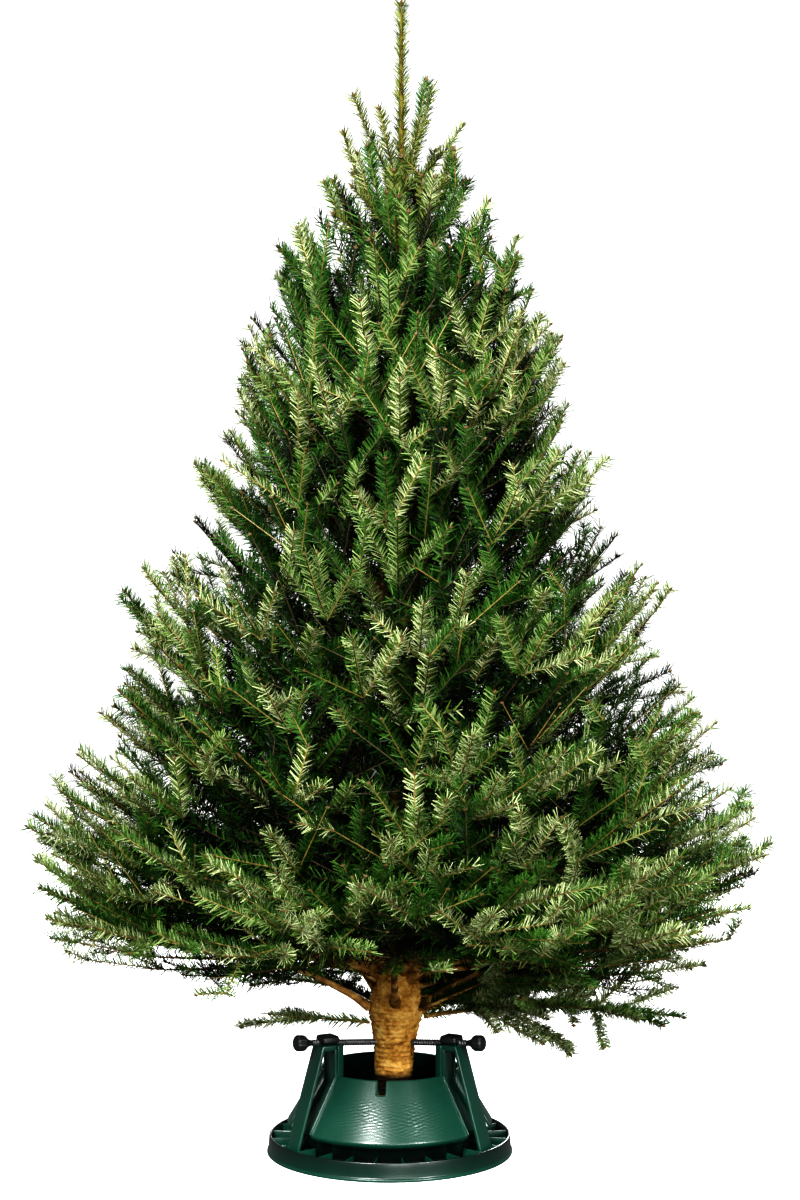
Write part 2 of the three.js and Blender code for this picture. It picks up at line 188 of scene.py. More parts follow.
# ------------------------------------------------------------------ finishes


class Value:
    """A socket of a finish. +, - and * add Math nodes."""

    def __init__(self, finish, socket):
        self.finish = finish
        self.socket = socket

    def math(self, operation, *others):
        """A Math node on values and numbers."""
        return self.finish.node("ShaderNodeMath", {"operation": operation}, *others)

    def __add__(self, other):
        return self.math("ADD", self, other)

    def __sub__(self, other):
        return self.math("SUBTRACT", self, other)

    def __rsub__(self, other):
        return self.math("SUBTRACT", other, self)

    def __mul__(self, other):
        return self.math("MULTIPLY", self, other)

    __radd__ = __add__
    __rmul__ = __mul__


# The numbers of the Mix node's colour sockets.
MIX_FIRST, MIX_SECOND, MIX_RESULT = 6, 7, 2


def set_stops(ramp, stops):
    """Gives a colour ramp its stops, each (place, colour), from the lowest place up."""
    for place, _ in stops[2:]:
        ramp.elements.new(place)
    for element, (place, colour) in zip(ramp.elements, stops):
        element.position = place
        element.color = (*colour, 1)


class Finish:
    """A material whose shader is one Principled BSDF."""

    def __init__(self, name, **constants):
        self.material = bpy.data.materials.new(name)
        self.material.use_nodes = True
        self.tree = self.material.node_tree
        self.shader = self.tree.nodes["Principled BSDF"]
        for socket, value in constants.items():
            self.shader.inputs[socket.replace("_", " ")].default_value = value

    def set(self, socket, value):
        """Links a value to a socket, or sets the socket to a number, a vector or a colour."""
        if isinstance(value, Value):
            self.tree.links.new(value.socket, socket)
        elif socket.type == "RGBA":
            socket.default_value = (*value, 1)
        else:
            socket.default_value = value

    def node(self, kind, settings, *values, out=0, numbered=None, **named):
        """A node of that kind: its settings first, with a ramp's stops among them, and then its
        sockets, in order, by number and by name. Gives the value at its output out."""
        made = self.tree.nodes.new(kind)
        for setting, value in settings.items():
            if setting == "stops":
                set_stops(made.color_ramp, value)
            else:
                setattr(made, setting, value)
        for socket, value in zip(made.inputs, values):
            self.set(socket, value)
        for number, value in (numbered or {}).items():
            self.set(made.inputs[number], value)
        for name, value in named.items():
            self.set(made.inputs[name.replace("_", " ")], value)
        return Value(self, made.outputs[out])

    def where(self):
        """Object coordinates."""
        return self.node("ShaderNodeTexCoord", {}, out="Object")

    def stretched(self, scale):
        """Object coordinates multiplied by scale."""
        return self.node("ShaderNodeMapping", {}, Vector=self.where(), Scale=scale)

    def height(self):
        """Height above the floor, in metres."""
        return self.node("ShaderNodeSeparateXYZ", {}, self.where(), out="Z")

    def from_axis(self):
        """Distance from the upright axis, in metres."""
        level = self.product(self.where(), (1, 1, 0))
        return self.node("ShaderNodeVectorMath", {"operation": "LENGTH"}, level, out="Value")

    def noise(self, scale, detail, roughness=0.55, stretch=(1, 1, 1)):
        """Noise of that many lumps in a metre, closer together by stretch along each axis."""
        return self.node("ShaderNodeTexNoise", {}, out="Fac", Vector=self.stretched(stretch), Scale=scale,
                         Detail=detail, Roughness=roughness)

    def rise(self, value, start, end):
        """0 below start and 1 above end, in a straight line between them."""
        return self.node("ShaderNodeMapRange", {"clamp": True}, value, start, end)

    def ramp(self, factor, stops):
        """The colour that a ramp has at factor."""
        return self.node("ShaderNodeValToRGB", {"stops": stops}, factor)

    def mix(self, factor, first, second):
        """The first colour where factor is 0 and the second where it is 1."""
        return self.node("ShaderNodeMix", {"data_type": "RGBA"}, factor, out=MIX_RESULT,
                         numbered={MIX_FIRST: first, MIX_SECOND: second})

    def product(self, first, second):
        """Two colours or vectors multiplied channel by channel."""
        return self.node("ShaderNodeVectorMath", {"operation": "MULTIPLY"}, first, second)

    def bump(self, height, strength, distance):
        """Relief by a height from 0 to 1, which stands for distance in metres."""
        made = self.node("ShaderNodeBump", {}, Height=height, Strength=strength, Distance=distance)
        self.drive("Normal", made)

    def drive(self, socket, value):
        """Gives one of the shader's sockets a value that changes over the surface."""
        self.set(self.shader.inputs[socket], value)


def plain(name, colour, roughness=0.5, specular=0.5):
    """A plain base colour, for needles, young twigs and buds."""
    return Finish(name, Base_Color=(*colour, 1), Roughness=roughness, Specular_IOR_Level=specular).material


WHITE = (1, 1, 1)
BARK_TONES = [  # from the cracks up to the scales
    (0.37, (0.070, 0.024, 0.004)), (0.44, (0.300, 0.130, 0.018)), (0.52, (0.540, 0.280, 0.052)),
    (0.63, (0.740, 0.500, 0.150)),
]
BARK_SPECKS = [(0.35, (0.40, 0.32, 0.25)), (0.6, WHITE)]
BARK_PAINTED_SHADE_AND_TINT = [  # at half the height in metres: painted shade that makes it dark in the bowl, bright above it, painted shade that dulls it in the crown, and an olive tint on the leader
    (0.0605, (0.02, 0.02, 0.02)), (0.0635, WHITE), (0.142, WHITE), (0.19, (0.13, 0.13, 0.10)),
    (0.6, (0.16, 0.17, 0.14)), (0.74, (0.24, 0.34, 0.22)),
]


def bark_finish():
    """Orange-brown scaly bark: streaks drawn round the trunk, darker in the cracks, paler on the scales,
    with painted shade that makes it nearly black in the bowl and dull grey-brown where the trunk runs up
    into the crown, and olive on the leader."""
    finish = Finish("bark", Specular_IOR_Level=0.2)
    wrinkles = finish.noise(85, 7, 0.7, (1, 1, 1.3))
    blotches = finish.noise(26, 3)
    grain = finish.noise(260, 4, 0.7, (1, 1, 2))
    tone = finish.ramp(wrinkles * 0.6 + blotches * 0.4, BARK_TONES)
    speckled = finish.product(tone, finish.ramp(grain, BARK_SPECKS))
    # painted shade: the trunk is darkened inside the bowl and inside the crown, and tinted olive on the
    # leader
    shade = finish.ramp(finish.height() * 0.5, BARK_PAINTED_SHADE_AND_TINT)
    finish.drive("Base Color", finish.product(finish.mix(grain * 0.5, tone, speckled), shade))
    finish.drive("Roughness", 0.7 + grain * 0.25)
    finish.bump(wrinkles + grain * 0.4, 0.7, 2 * MM)
    return finish.material


BOUGH_TONES = [(0.36, (0.110, 0.045, 0.012)), (0.5, (0.400, 0.200, 0.046)), (0.64, (0.640, 0.400, 0.140))]
BOUGH_PAINTED_SHADE_UP = [(0.28, WHITE), (0.42, (0.10, 0.09, 0.07))]  # painted shade, at the height in metres: bright under the crown, darkened inside it
BOUGH_SHADE_OUT = [(0.07, WHITE), (0.20, (0.34, 0.30, 0.26))]  # at the distance from the axis


def bough_finish():
    """Thinner, smoother bark of the boughs: orange-brown with paler patches by the trunk, darker further
    out, and darkened higher up by painted shade, where the crown hangs over it."""
    finish = Finish("bough_bark", Specular_IOR_Level=0.2)
    patches = finish.noise(45, 4)
    grain = finish.noise(300, 3)
    # painted shade: the boughs darken higher up, inside the crown
    up = finish.ramp(finish.height(), BOUGH_PAINTED_SHADE_UP)
    out = finish.ramp(finish.from_axis(), BOUGH_SHADE_OUT)
    finish.drive("Base Color", finish.product(finish.product(finish.ramp(patches, BOUGH_TONES), up), out))
    finish.drive("Roughness", 0.7 + grain * 0.2)
    finish.bump(patches + grain * 0.5, 0.5, 1.2 * MM)
    return finish.material


TROUGH_SHADE_RADIUS = (186 * MM, 190 * MM)  # the painted shade in the trough fades away between these
TROUGH_SHADE_HEIGHT = (39 * MM, 45 * MM)
# painted shade: the colour of the trough between bowl and ring
TROUGH_PAINTED_SHADE = (0.0004, 0.002, 0.0015)


def green_plastic(name, trough):
    """Moulded dark green plastic: even colour with a faint cloudiness and fine moulding grain. In the
    trough between bowl and ring painted shade makes it nearly black, by as much as trough says."""
    finish = Finish(name, Specular_IOR_Level=0.5, Coat_Roughness=0.15)
    cloud = finish.noise(14, 3)
    grain = finish.noise(900, 2)
    # painted shade: where it falls, in the trough near the axis and low down
    inner = 1 - finish.rise(finish.from_axis(), *TROUGH_SHADE_RADIUS)
    low = 1 - finish.rise(finish.height(), *TROUGH_SHADE_HEIGHT)
    colour = finish.mix(cloud, (0.002, 0.030, 0.018), (0.005, 0.048, 0.030))
    # painted shade mixed in over the trough
    finish.drive("Base Color", finish.mix(inner * low * trough, colour, TROUGH_PAINTED_SHADE))
    finish.drive("Roughness", 0.27 + cloud * 0.12)
    finish.drive("Coat Weight", cloud * 0.5)
    finish.bump(grain, 0.12, 0.4 * MM)
    return finish.material


def black_plastic():
    """Black plastic, a little cloudy in colour and gloss."""
    finish = Finish("black_plastic", Specular_IOR_Level=0.5)
    cloud = finish.noise(60, 3)
    finish.drive("Base Color", finish.mix(cloud, (0.003, 0.004, 0.004), (0.012, 0.016, 0.016)))
    finish.drive("Roughness", 0.3 + cloud * 0.25)
    finish.bump(cloud, 0.15, 0.5 * MM)
    return finish.material


def bolt_metal():
    """Blackened steel thread, rubbed brighter in places."""
    finish = Finish("blackened_steel", Specular_IOR_Level=0.5)
    rub = finish.noise(120, 3)
    finish.drive("Base Color", finish.mix(rub, (0.03, 0.031, 0.033), (0.20, 0.205, 0.21)))
    finish.drive("Metallic", 0.55 + rub * 0.4)
    finish.drive("Roughness", 0.28 + rub * 0.25)
    return finish.material


def floor_finish():
    """Plain white, with a faint unevenness."""
    finish = Finish("floor", Roughness=0.6, Emission_Color=(1, 1, 1, 1), Emission_Strength=0.9)
    soft = finish.noise(3, 2)
    finish.drive("Base Color", finish.mix(soft, (0.86, 0.86, 0.86), (0.9, 0.9, 0.9)))
    return finish.material


# ------------------------------------------------------------------ what the CAD nodes say


def vertices_of(name):
    """A CAD node's vertices, one row each."""
    mesh = NODES[name].data
    co = np.empty(3 * len(mesh.vertices), np.float32)
    mesh.vertices.foreach_get("co", co)
    return co.reshape(-1, 3).astype(float)


def from_middle(ring):
    """Each point's distance from the middle of its level ring."""
    return np.hypot(*(ring[:, :2] - ring[:, :2].mean(0)).T)


def trunk_rings():
    """The trunk's rings: their heights, centres and mean radii. Vertices within 0.1 mm of a height are
    one ring, and one within half a millimetre of its middle is the centre of a flat end."""
    co = vertices_of("trunk")
    heights = np.unique(np.round(co[:, 2], 5))
    rings = [np.unique(np.round(co[np.abs(co[:, 2] - z) < 0.1 * MM], 5), axis=0) for z in heights]
    outer = [ring[from_middle(ring) > 0.5 * MM] for ring in rings]
    kept = [(z, ring[:, 0].mean(), ring[:, 1].mean(), from_middle(ring).mean())
            for z, ring in zip(heights, outer) if len(ring)]
    return np.array(kept).T


TRUNK_Z, TRUNK_X, TRUNK_Y, TRUNK_R = trunk_rings()


def axis_at(z):
    """The trunk's axis at heights z, as points."""
    return np.stack([np.interp(z, TRUNK_Z, TRUNK_X), np.interp(z, TRUNK_Z, TRUNK_Y), z * 1.0], -1)


def trunk_radius(z):
    """The trunk's radius at heights z."""
    return np.interp(z, TRUNK_Z, TRUNK_R)


def crown_outline(step=0.07):
    """Heights, a step apart, and the furthest reach of the foliage masses from the trunk's axis in the
    band of each."""
    co = np.concatenate([vertices_of(name) for name in FOLIAGE_NODES if "tier" in name])
    radius = np.hypot(*(co[:, :2] - axis_at(co[:, 2])[:, :2]).T)
    edges = np.arange(co[:, 2].min(), co[:, 2].max() + step, step)
    band = np.digitize(co[:, 2], edges) - 1
    reach = np.zeros(len(edges))
    np.maximum.at(reach, band, radius)
    inside = reach > 0
    return (edges + step / 2)[inside], reach[inside]


OUTLINE_Z, OUTLINE_R = crown_outline()


def outline_at(z):
    """The crown's radius at heights z."""
    return np.interp(z, OUTLINE_Z, OUTLINE_R)


# ------------------------------------------------------------------ the stand


def filleted(profile, radius, steps=4):
    """An open polyline whose inner corners are rounded: each corner is replaced by a quadratic curve
    that leaves and joins the straight runs at radius from it, or just short of half a short run."""
    profile = np.array(profile, float)
    made = [profile[:1]]
    t = np.linspace(0, 1, steps)[:, None]
    for before, corner, after in zip(profile[:-2], profile[1:-1], profile[2:]):
        back, ahead = before - corner, after - corner
        cut = min(radius, 0.45 * np.linalg.norm(back), 0.45 * np.linalg.norm(ahead))
        start = corner + back / np.linalg.norm(back) * cut
        end = corner + ahead / np.linalg.norm(ahead) * cut
        made.append((1 - t) ** 2 * start + 2 * t * (1 - t) * corner + t**2 * end)
    made.append(profile[-1:])
    return np.concatenate(made)


def resampled(profile, step):
    """The polyline with points no further apart than step."""
    lengths = np.hypot(*np.diff(profile, axis=0).T)
    at = np.concatenate([[0], np.cumsum(lengths)])
    extra = [np.linspace(a, b, max(2, int(np.ceil((b - a) / step)) + 1)) for a, b in zip(at[:-1], at[1:])]
    places = np.unique(np.concatenate(extra))
    return np.stack([np.interp(places, at, profile[:, 0]), np.interp(places, at, profile[:, 1])], -1)


def revolved(profile, sides, change=None):
    """A profile of (radius, height) turned about Z; change(radius, height, angle) may reshape it."""
    angle = np.linspace(0, TAU, sides, endpoint=False)[None, :]
    radius, height = profile[:, :1] + 0 * angle, profile[:, 1:] + 0 * angle
    if change:
        radius, height = change(radius, height, angle + 0 * radius)
    return closed_tube(np.stack([radius * np.cos(angle), radius * np.sin(angle), height], -1))


def section(width, thickness, corner, steps=4):
    """A rounded rectangle about the origin, anticlockwise: four quarter circles."""
    quarter = np.linspace(0, np.pi / 2, steps)
    angle = np.concatenate([quarter + i * np.pi / 2 for i in range(4)])
    signs = np.repeat([[1, 1], [-1, 1], [-1, -1], [1, -1]], steps, axis=0)
    centre = signs * np.array([width / 2 - corner, thickness / 2 - corner])
    return centre + corner * np.stack([np.cos(angle), np.sin(angle)], -1)


def bar(start, end, width, thickness, corner=0.0015, across=(0, 1, 0), taper=1.0, rows=8):
    """A straight bar of rounded rectangular section from start to end, its ends rounded by shrinking
    the section over the last corner's length; taper is the end's width over the start's."""
    start, end, across = (np.array(v, float) for v in (start, end, across))
    along = end - start
    length = np.linalg.norm(along)
    along /= length
    other = np.cross(along, across)
    rounding = np.array([0, 0.3, 1.0]) * corner
    inset = corner * (1 - np.sqrt(1 - (1 - rounding / corner) ** 2))
    straight = np.linspace(corner, length - corner, rows)[1:-1]
    places = np.concatenate([rounding, straight, length - rounding[::-1]])
    insets = np.concatenate([inset, np.zeros(rows - 2), inset[::-1]])
    rings = []
    for place, cut in zip(places, insets):
        grown = 1 + (taper - 1) * place / length
        ring = section(width * grown - 2 * cut, thickness - 2 * cut, max(corner - cut, 1e-5))
        rings.append(start + along * place + ring[:, :1] * across + ring[:, 1:] * other)
    return closed_tube(np.stack(rings))


def tower_angle(name):
    """A tower's direction from the upright axis, to the nearest 30 degrees."""
    low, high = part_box(name)
    angle = math.atan2(low.y + high.y, low.x + high.x)
    return round(math.degrees(angle) / 30) * math.radians(30)


TOWER_ANGLES = [tower_angle(name) for name in TOWERS]

DISH_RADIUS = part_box("stand_dish")[1].x
DISH_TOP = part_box("stand_dish")[1].z
RING_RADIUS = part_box("stand_ring")[1].x
RING_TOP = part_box("stand_ring")[1].z
BOWL_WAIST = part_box("stand_bowl")[1].x
BOWL_RIM_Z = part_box("stand_bowl")[1].z
BOWL_WAIST_Z = 48 * MM
BOWL_RIM = 108 * MM
TOWER_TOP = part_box("stand_tower_3")[1].z
TOWER_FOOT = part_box("stand_tower_3")[1].y
CAP_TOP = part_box("stand_cap_3")[1].z
CAP_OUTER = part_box("stand_cap_3")[1].y
CAP_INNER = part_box("stand_cap_3")[0].y
RIBS = 24
SLOT_ANGLE = math.radians(-96)
PANEL_EDGE = math.radians(12.2)


def turn_between(angle, direction):
    """The turn from direction to angle, from -pi to pi."""
    return (angle - direction + np.pi) % TAU - np.pi


def near_tower(angle):
    """The turn to the nearest tower's direction, without sign."""
    return np.min([np.abs(turn_between(angle, tower)) for tower in TOWER_ANGLES], axis=0)


def step_down(value, edge, softness):
    """1 below edge and 0 above it, eased over softness."""
    t = np.clip((value - edge) / softness + 0.5, 0, 1)
    return 1 - t * t * (3 - 2 * t)


COARSE_STEP = 8 * MM  # rows of a turned profile, where it is plain
PROFILE_START = 1 * MM  # a turned profile starts and ends this far off the axis, and is closed by fans


def stand_base(green):
    """The disc and its upright ring in one: a turned profile with a small foot lip, and a wall that
    leans inwards and is thinner at its rim."""
    lip, wall = 1.5 * MM, 5 * MM
    profile = filleted([
        (PROFILE_START, 0), (DISH_RADIUS, 0), (DISH_RADIUS, 4 * MM), (RING_RADIUS, 4 * MM + lip),
        (RING_RADIUS - lip, RING_TOP), (RING_RADIUS - lip - wall * 0.6, RING_TOP),
        (RING_RADIUS - lip - wall, DISH_TOP), (PROFILE_START, DISH_TOP),
    ], 1.2 * MM)
    shape = revolved(resampled(profile, COARSE_STEP), 288)
    piece("stand_base", shape, [green], ["stand_dish"])


def stand_ribs(green):
    """Upright ribs, evenly round the stand, that run from under the bowl out to the ring."""
    inner, outer = 140 * MM, RING_RADIUS - 4 * MM
    height = RING_TOP - 3 * MM - DISH_TOP
    middle = DISH_TOP + height / 2 - 0.5 * MM
    rib = bar((inner, 0, middle), (outer, 0, middle), 2.4 * MM, height, 1 * MM)
    turns = (np.arange(RIBS) + 0.5) * TAU / RIBS
    shape = joined([turned_about_z(rib, turn) for turn in turns])
    piece("stand_ribs", shape, [green], ["stand_ring"])


BOWL_WALL = 3.6 * MM
BOWL_STEP = 1.3 * MM  # rows of the rippled wall
BOWL_SIDES = 440
RECESS_DEPTH = 13 * MM  # the bowl is set back this far behind each tower,
RECESS_HALF = math.radians(10.5)  # to this turn on each side of it,
RECESS_EDGE = math.radians(1.2)  # with its side spread over this turn
RAISED_EDGE = (1.6 * MM, math.radians(11.9), math.radians(0.55))  # its height, place and width
RIPPLE_DEPTH = 0.17 * MM
SLOT_HALF = math.radians(3.2)
SLOT_DEPTH = 20 * MM


def bowl_shape(radius, height, angle):
    """The bowl's wall: set back behind each tower, with a raised edge on each side of it, rippled across
    the open panels in short waves one above another, with a slot in the rim. Each of these is its depth
    times masks from 0 to 1 of the turn from the nearest tower and of the height."""
    turn = near_tower(angle)
    up = np.clip((height - BOWL_WAIST_Z) / (BOWL_RIM_Z - BOWL_WAIST_Z), 0, 1)
    on_wall = (height > BOWL_WAIST_Z - 12 * MM) * step_down(-up, 0.0, 0.02)
    recess = RECESS_DEPTH * step_down(turn, RECESS_HALF, RECESS_EDGE)
    fade = np.clip((height - 26 * MM) / (16 * MM), 0, 1)
    edge_height, edge_turn, edge_width = RAISED_EDGE
    edge = edge_height * np.exp(-((turn - edge_turn) / edge_width) ** 2)
    panel = step_down(-turn, -math.radians(20), math.radians(8))
    band = np.exp(-(((up - 0.38) / 0.3) ** 4))
    ripple = RIPPLE_DEPTH * waves(angle, height, 60, (20, 80), (170, 330), 8) * panel * band
    outward = -recess * fade + (edge * fade + ripple) * (up > 0) * on_wall
    outer_face = radius > (BOWL_WAIST + (BOWL_RIM - BOWL_WAIST) * up) - 2.5 * MM
    radius = radius + np.where(outer_face, outward, -recess * fade)
    slot = step_down(np.abs(turn_between(angle, SLOT_ANGLE)), SLOT_HALF, math.radians(0.5))
    lowered = np.minimum(height, BOWL_RIM_Z - SLOT_DEPTH * slot)
    return radius, np.where(height > BOWL_WAIST_Z + 20 * MM, lowered, height)


def stand_bowl(green):
    """The water bowl: tucked in under the waist, leaning in to the rim, open above. Its rows are close
    together only on the outer wall, from near the waist up to the rim."""
    floor = DISH_TOP + 5 * MM
    lip = 1 * MM
    outer = filleted([
        (PROFILE_START, DISH_TOP + 0.5 * MM), (138 * MM, DISH_TOP + 0.5 * MM),
        (BOWL_WAIST - 22 * MM, DISH_TOP + 16 * MM), (BOWL_WAIST - 2 * MM, BOWL_WAIST_Z - 5 * MM),
        (BOWL_WAIST, BOWL_WAIST_Z), (BOWL_RIM, BOWL_RIM_Z - lip), (BOWL_RIM - lip, BOWL_RIM_Z),
        (BOWL_RIM - BOWL_WALL + lip, BOWL_RIM_Z), (BOWL_RIM - BOWL_WALL, BOWL_RIM_Z - lip),
        (BOWL_WAIST - BOWL_WALL, BOWL_WAIST_Z), (136 * MM, floor), (PROFILE_START, floor),
    ], 5 * MM, 6)
    fine, coarse = resampled(outer, BOWL_STEP), resampled(outer, COARSE_STEP)
    wall_rows = (fine[:, 0] > BOWL_RIM - 3 * MM) & (np.arange(len(fine)) < np.argmax(fine[:, 1]))
    inside = coarse[np.argmax(coarse[:, 1]):]
    shape = revolved(np.concatenate([coarse[:1], fine[wall_rows], inside]), BOWL_SIDES, bowl_shape)
    piece("stand_bowl_shell", shape, [green], ["stand_bowl"])


def panel_ridges(green):
    """A thin proud ridge down each edge of the bowl's three open panels, from the rim to the waist."""
    proud = 0.5 * MM
    waist = (BOWL_WAIST + proud, 0, BOWL_WAIST_Z + 1 * MM)
    rim = (BOWL_RIM + proud, 0, BOWL_RIM_Z - 0.5 * MM)
    ridge = bar(waist, rim, 2.4 * MM, 5.5 * MM, 0.9 * MM)
    turns = [tower + sign * PANEL_EDGE for tower in TOWER_ANGLES for sign in (-1, 1)]
    shape = joined([turned_about_z(ridge, turn) for turn in turns])
    piece("stand_panel_ridges", shape, [green], ["stand_bowl"])


def bent_round(part, reach):
    """Bends a part that stands at x = reach round the Z axis, so that flat faces become curved."""
    vertices, faces = part
    angle = vertices[:, 1] / reach
    bent = np.stack([vertices[:, 0] * np.cos(angle), vertices[:, 0] * np.sin(angle), vertices[:, 2]], -1)
    return bent, faces


TOWER_HEAD = 125 * MM  # the reach of a tower's outer face at its top
TOWER_INNER = 94 * MM  # and of its inner face
PLATE_WIDTH = 35 * MM
PLATE_THICKNESS = 5 * MM
INNER_PLATE = 7 * MM


def stand_tower(green, name, angle):
    """A tower: the leaning outer plate, a thick upright inner block with a ridge on each edge, and
    the head that closes the gap between them above."""
    half = PLATE_THICKNESS / 2
    outer_plate = bar((TOWER_FOOT - half, 0, DISH_TOP + 0.5 * MM), (TOWER_HEAD - half, 0, TOWER_TOP),
                      PLATE_WIDTH, PLATE_THICKNESS, 1.4 * MM, taper=0.94)
    block = TOWER_INNER + 5 * MM
    staves = [bar((block, y * MM, BOWL_RIM_Z - 22 * MM), (block, y * MM, TOWER_TOP), INNER_PLATE, 11 * MM,
                  1 * MM) for y in np.linspace(-16, 16, 6)]
    inner_block = bent_round(joined(staves), TOWER_INNER)
    ridge = TOWER_INNER + 10.5 * MM
    ridges = [bar((ridge, y * MM, BOWL_RIM_Z - 16 * MM), (ridge, y * MM, TOWER_TOP - 7 * MM), 2.2 * MM,
                  4 * MM, 0.8 * MM) for y in (-17.5, 17.5)]
    middle = (TOWER_INNER + TOWER_HEAD) / 2
    top = bar((middle, 0, TOWER_TOP - 9 * MM), (middle, 0, TOWER_TOP), 33 * MM,
              TOWER_HEAD - TOWER_INNER - 2 * MM, 2 * MM)
    shape = turned_about_z(joined([outer_plate, inner_block, top, *ridges]), angle)
    piece(name + "_shell", shape, [green], [name])


def stand_cap(black, name, angle):
    """The low rounded block over the bolt, with a collar round the bolt on the outer side."""
    middle = (CAP_INNER + CAP_OUTER) / 2
    block = bar((middle, 0, TOWER_TOP + 1 * MM), (middle, 0, CAP_TOP), 29 * MM, CAP_OUTER - CAP_INNER, 4 * MM,
                taper=0.93)
    collar_z = TOWER_TOP + 2.5 * MM
    collar = bar((CAP_OUTER - 4 * MM, 0, collar_z), (CAP_OUTER + 3.5 * MM, 0, collar_z + 0.5 * MM),
                 13 * MM, 13 * MM, 4 * MM)
    piece(name + "_block", turned_about_z(joined([block, collar]), angle), [black], [name])


BOLT_RISE = math.atan(0.09)
ROD_RADIUS = 4 * MM
THREAD_PITCH = 4.4 * MM
THREAD_DEPTH = 1.4 * MM
KNOB_LENGTH = 29 * MM
KNOB_FLUTES = 15
FLUTE_DEPTH = 0.055  # over the knob's radius


def turned_about_x(profile, turn, swell=1):
    """Rings along X: profile is (place, radius) rows, and swell multiplies the radius."""
    radius = profile[:, 1:] * swell
    return np.stack([profile[:, :1] + 0 * turn, radius * np.cos(turn), radius * np.sin(turn)], -1)


def stand_bolt(steel, black, name, angle):
    """A bolt. The rod's radius rises and falls along a helix, as the cosine of the turn less a full turn
    for each pitch; the knob has flutes round its rim, as the cosine of 15 times the turn."""
    co = vertices_of(name)
    reach = co[:, 0] * math.cos(angle) + co[:, 1] * math.sin(angle)
    tip, end = reach.min(), reach.max()
    tip_z = co[reach < tip + 2 * MM][:, 2].mean()
    rod_length = end - KNOB_LENGTH - tip + 2 * MM
    along = np.linspace(0, rod_length, int(rod_length / THREAD_PITCH * 9))[:, None]
    turn = np.linspace(0, TAU, 14, endpoint=False)[None, :]
    wave = 0.5 + 0.5 * np.cos(turn - TAU * along / THREAD_PITCH)
    rod = ROD_RADIUS + THREAD_DEPTH * wave * np.clip(along / (4 * MM), 0, 1)
    rod_points = turned_about_x(np.concatenate([along, np.ones_like(along)], 1), turn, rod)
    profile = resampled(filleted([
        (0, 4.2 * MM), (4 * MM, 4.6 * MM), (8 * MM, 6.5 * MM), (14 * MM, 12.2 * MM), (26 * MM, 12.4 * MM),
        (KNOB_LENGTH, 9.5 * MM), (KNOB_LENGTH + 0.2 * MM, 0.6 * MM),
    ], 2.2 * MM, 6), 1.2 * MM)
    turn = np.linspace(0, TAU, 120, endpoint=False)[None, :]
    rim = np.clip((profile[:, 1:] - 7 * MM) / (5 * MM), 0, 1)
    flutes = 1 - FLUTE_DEPTH * rim * (0.5 + 0.5 * np.cos(KNOB_FLUTES * turn))
    knob_points = turned_about_x(profile + (rod_length, 0), turn, flutes)
    cosine, sine = math.cos(BOLT_RISE), math.sin(BOLT_RISE)
    tilt = np.array([[cosine, 0, sine], [0, 1, 0], [-sine, 0, cosine]])

    def placed(points):
        """The part tilted, moved out to the bolt's tip and turned to the bolt's direction."""
        vertices, faces = closed_tube(points)
        return turned_about_z((vertices @ tilt + (tip, 0, tip_z), faces), angle)

    piece(name + "_rod", placed(rod_points), [steel], [name])
    piece(name + "_knob", placed(knob_points), [black], [name])


def build_stand():
    """The whole stand, each piece in its own finish."""
    # the base and the bowl take a copy of the plastic with painted shade in its trough
    green, shaded = green_plastic("green_plastic", 0.0), green_plastic("green_plastic_trough_shade", 0.92)
    black, steel = black_plastic(), bolt_metal()
    stand_base(shaded)
    stand_ribs(green)
    stand_bowl(shaded)
    panel_ridges(green)
    for index, angle in enumerate(TOWER_ANGLES, 1):
        stand_tower(green, f"stand_tower_{index}", angle)
        stand_cap(black, f"stand_cap_{index}", angle)
        stand_bolt(steel, black, f"stand_bolt_{index}", angle)


# ------------------------------------------------------------------ trunk and boughs


def waves(u, v, count, turns, rises, seed):
    """Rough relief from about -1 to 1: sine waves with whole numbers of turns round u, so that it
    closes on itself, and rises along v in waves per metre, each with its own random phase."""
    rng = np.random.default_rng(seed)
    total = np.zeros(np.broadcast(u, v).shape)
    for turn, rise, phase in zip(
        rng.integers(turns[0], turns[1] + 1, count), rng.uniform(*rises, count), rng.uniform(0, TAU, count)
    ):
        sign = rng.choice((-1, 1))
        total += np.sin(turn * u + sign * TAU * rise * v + phase)
    return total / math.sqrt(count / 2) / 2


KNOT_ANGLE = math.radians(-100)
KNOT_HEIGHT = 0.196
KNOT_RADIUS = 5 * MM


